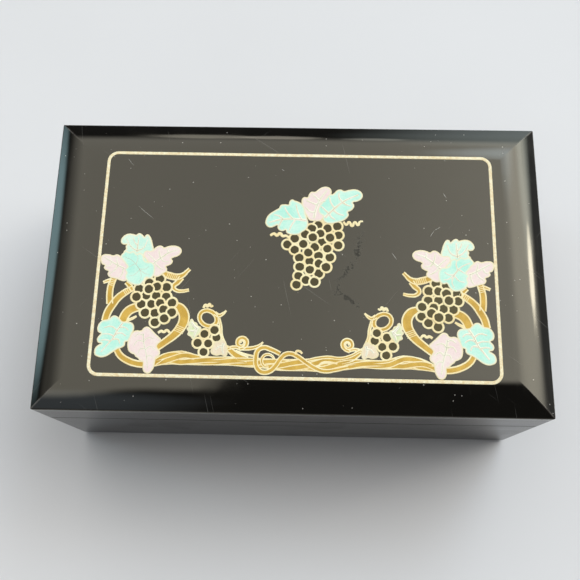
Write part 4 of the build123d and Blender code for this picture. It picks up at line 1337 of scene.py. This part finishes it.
# %% Felt sheet
felt_low, felt_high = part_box("base_felt")
felt_corner, scissor_step = 0.003, 0.006
outline = rounded_frame(felt_high[0], felt_high[1], felt_corner)
edge = []
for (x0, y0), (x1, y1) in zip(outline, outline[1:] + outline[:1]):
    pieces = max(1, round(math.hypot(x1 - x0, y1 - y0) / scissor_step))
    for k in range(pieces):
        x, y = x0 + (x1 - x0) * k / pieces, y0 + (y1 - y0) * k / pieces
        cut = 0.9985 + 0.0012 * math.sin(x * 90 + y * 130) * math.sin(y * 70 - x * 40)
        edge.append((x * cut, y * cut))
height_and_inset = [(0.0, 0.0003), (0.0003, 0.0), (0.0007, 0.0), (0.00097, 0.0003)]
rough_length, rough_depth = 0.1, 0.06
rings = [[(x * (1 - inset / rough_length), y * (1 - inset / rough_depth), z) for x, y in edge]
         for z, inset in height_and_inset]
felt_piece = new_piece("felt_sheet", skinned("felt_sheet", rings), "case", felt)
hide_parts("base_felt")
felt_high[0] - felt_low[0]
felt_high[1] - felt_low[1]

# %% [markdown]
# Brass, gilding and glass are hard finishes. Brass fittings are drawn and polished in one direction and turn
# brown in hollows. Gilding is thin leaf over a red ground that shows where it is rubbed. The mirror keeps a
# film of dust and has lost a little silver at its edge. The two grain patterns share one group.

# %% Group: drawn grain
tree, given, sink = shader_group("drawn grain", ("Grain", "Cloud"), Along=(20.0, 900.0, 900.0), Cloud=70.0)
stretched = vector_calc("MULTIPLY", given["Vector"], given["Along"])
drawn_grain = done(sink, Grain=noise(stretched, 1.0, 4.0), Cloud=noise(given["Vector"], given["Cloud"], 4.0))

# %% [markdown]
# The metal parts, the gilded mirror frame, the mirror and the bare plywood below get their materials here.
# The drawn grain gives the brass its brushed look and the wood its figure.

# %% Brass, gilding, mirror and plywood
brass, shader, place = new_finish("polished_brass", Metallic=1.0)
drawing = use_group(place.tree, drawn_grain, Vector=place, Along=(40.0, 2500.0, 2500.0), Cloud=260.0)
grain, tarnish = drawing["Grain"], ramp(drawing["Cloud"], 0.46, 0.72)
feed(shader, Base_Color=blend(tarnish, (0.80, 0.56, 0.22), (0.42, 0.26, 0.09)),
     Roughness=ramp(grain, 0.3, 0.7, 0.16, 0.30) + tarnish * 0.22)
bumped(shader, grain, 0.15, 0.00003)

gilt, shader, place = new_finish("gilt_wood")
leafing = use_group(place.tree, drawn_grain, Vector=place, Along=(260.0, 260.0, 260.0), Cloud=130.0)
edge_mask = use_group(place.tree, arris_wear, Vector=place, Middle=(0, 0, 0.07925),
                 Half_Size=(0.0818, 0.0458, 0.00175), Width=0.0009)
rubbed = calc("MAXIMUM", edge_mask, ramp(leafing["Cloud"], 0.66, 0.74))
leaf_tone = blend(ramp(leafing["Grain"], 0.35, 0.65), (0.72, 0.47, 0.15), (0.90, 0.66, 0.28))
feed(shader, Base_Color=blend(rubbed, leaf_tone, (0.20, 0.030, 0.012)),
     Metallic=ramp(rubbed, 0.0, 1.0, 0.95, 0.05), Roughness=ramp(leafing["Grain"], 0.2, 0.8, 0.24, 0.42))
bumped(shader, leafing["Cloud"], 0.2, 0.0002)

mirror, shader, place = new_finish("mirror_glass", Metallic=1.0)
use = use_group(place.tree, signs_of_use, Vector=place)
edge_mask = use_group(place.tree, arris_wear, Vector=place, Middle=(0, 0, 0.080), Half_Size=(0.075, 0.039, 0.001),
                 Width=0.0028)
silver = blend(edge_mask, (0.83, 0.86, 0.85), (0.22, 0.20, 0.17))
feed(shader, Base_Color=blend(use["Dust"] * 0.5, silver, (0.60, 0.58, 0.55)),
     Roughness=ramp(use["Smudge"], 0.0, 1.0, 0.015, 0.07))

plywood, shader, place = new_finish("plywood", Specular_IOR_Level=0.3)
drawing = use_group(place.tree, drawn_grain, Vector=place, Along=(14.0, 420.0, 420.0), Cloud=40.0)
grain = drawing["Grain"]
wood = blend(ramp(grain, 0.35, 0.65), (0.36, 0.22, 0.11), (0.56, 0.38, 0.21))
wood = blend(ramp(drawing["Cloud"], 0.45, 0.65, 0.0, 0.4), wood, (0.30, 0.18, 0.09))
feed(shader, Base_Color=wood, Roughness=ramp(grain, 0.3, 0.7, 0.55, 0.75))
bumped(shader, grain, 0.3, 0.0001)

finish_nodes(brass, *["hinge_leaf_%s_%s" % (half, side) for half in ("lower", "upper") for side in walls[2:]],
             "hinge_pin_left", "hinge_pin_right", "hinge_screws_lower", "hinge_screws_upper",
             "stay_arm", "stay_guide_screw", "stay_pivot_screw")
finish_nodes(gilt, *["mirror_trim_" + wall for wall in walls])
finish_nodes(mirror, "mirror_glass")
finish_nodes(plywood, "base_panel")

# %% [markdown]
# The mirror's gilt frame carries a row of beads, pressed from composition and gilded with the wood. Beads
# follow a path and repeat, so a tree sets them along it at an even spacing, each a little different in size.

# %% Geometry tree: row of beads
tree, given, sink = geometry_tree("row of beads", Bead_Radius=0.00085, Pitch=0.0021, Spread=0.06, Seed=4,
                                  Gilding="Material")
bead = add(tree, "MeshUVSphere", Segments=8, Rings=5, Radius=given["Bead Radius"])
beads = add(tree, "InstanceOnPoints", Points=resampled(given["Geometry"], given["Pitch"]), Instance=bead,
            Scale=random_size(given))
smooth = add(tree, "SetShadeSmooth", add(tree, "RealizeInstances", beads))
row_of_beads = done(sink, painted(smooth, given["Gilding"]))

half_x, half_y, bead_z = 0.0778, 0.0418, trim_low[2] + 0.0001
path = bpy.data.curves.new("bead_path", "CURVE")
path.dimensions = "3D"
run = path.splines.new("POLY")
run.points.add(3)
run.use_cyclic_u = True
corners = ((half_x, half_y), (-half_x, half_y), (-half_x, -half_y), (half_x, -half_y))
for point, (x, y) in zip(run.points, corners):
    point.co = (x, y, bead_z, 1)
made("mirror_frame_beads", bpy.data.objects.new("bead_path", path), row_of_beads, "lid", Gilding=gilt)

# %% [markdown]
# The last step says that the scene is built.

# %% Finish
print("scene built")
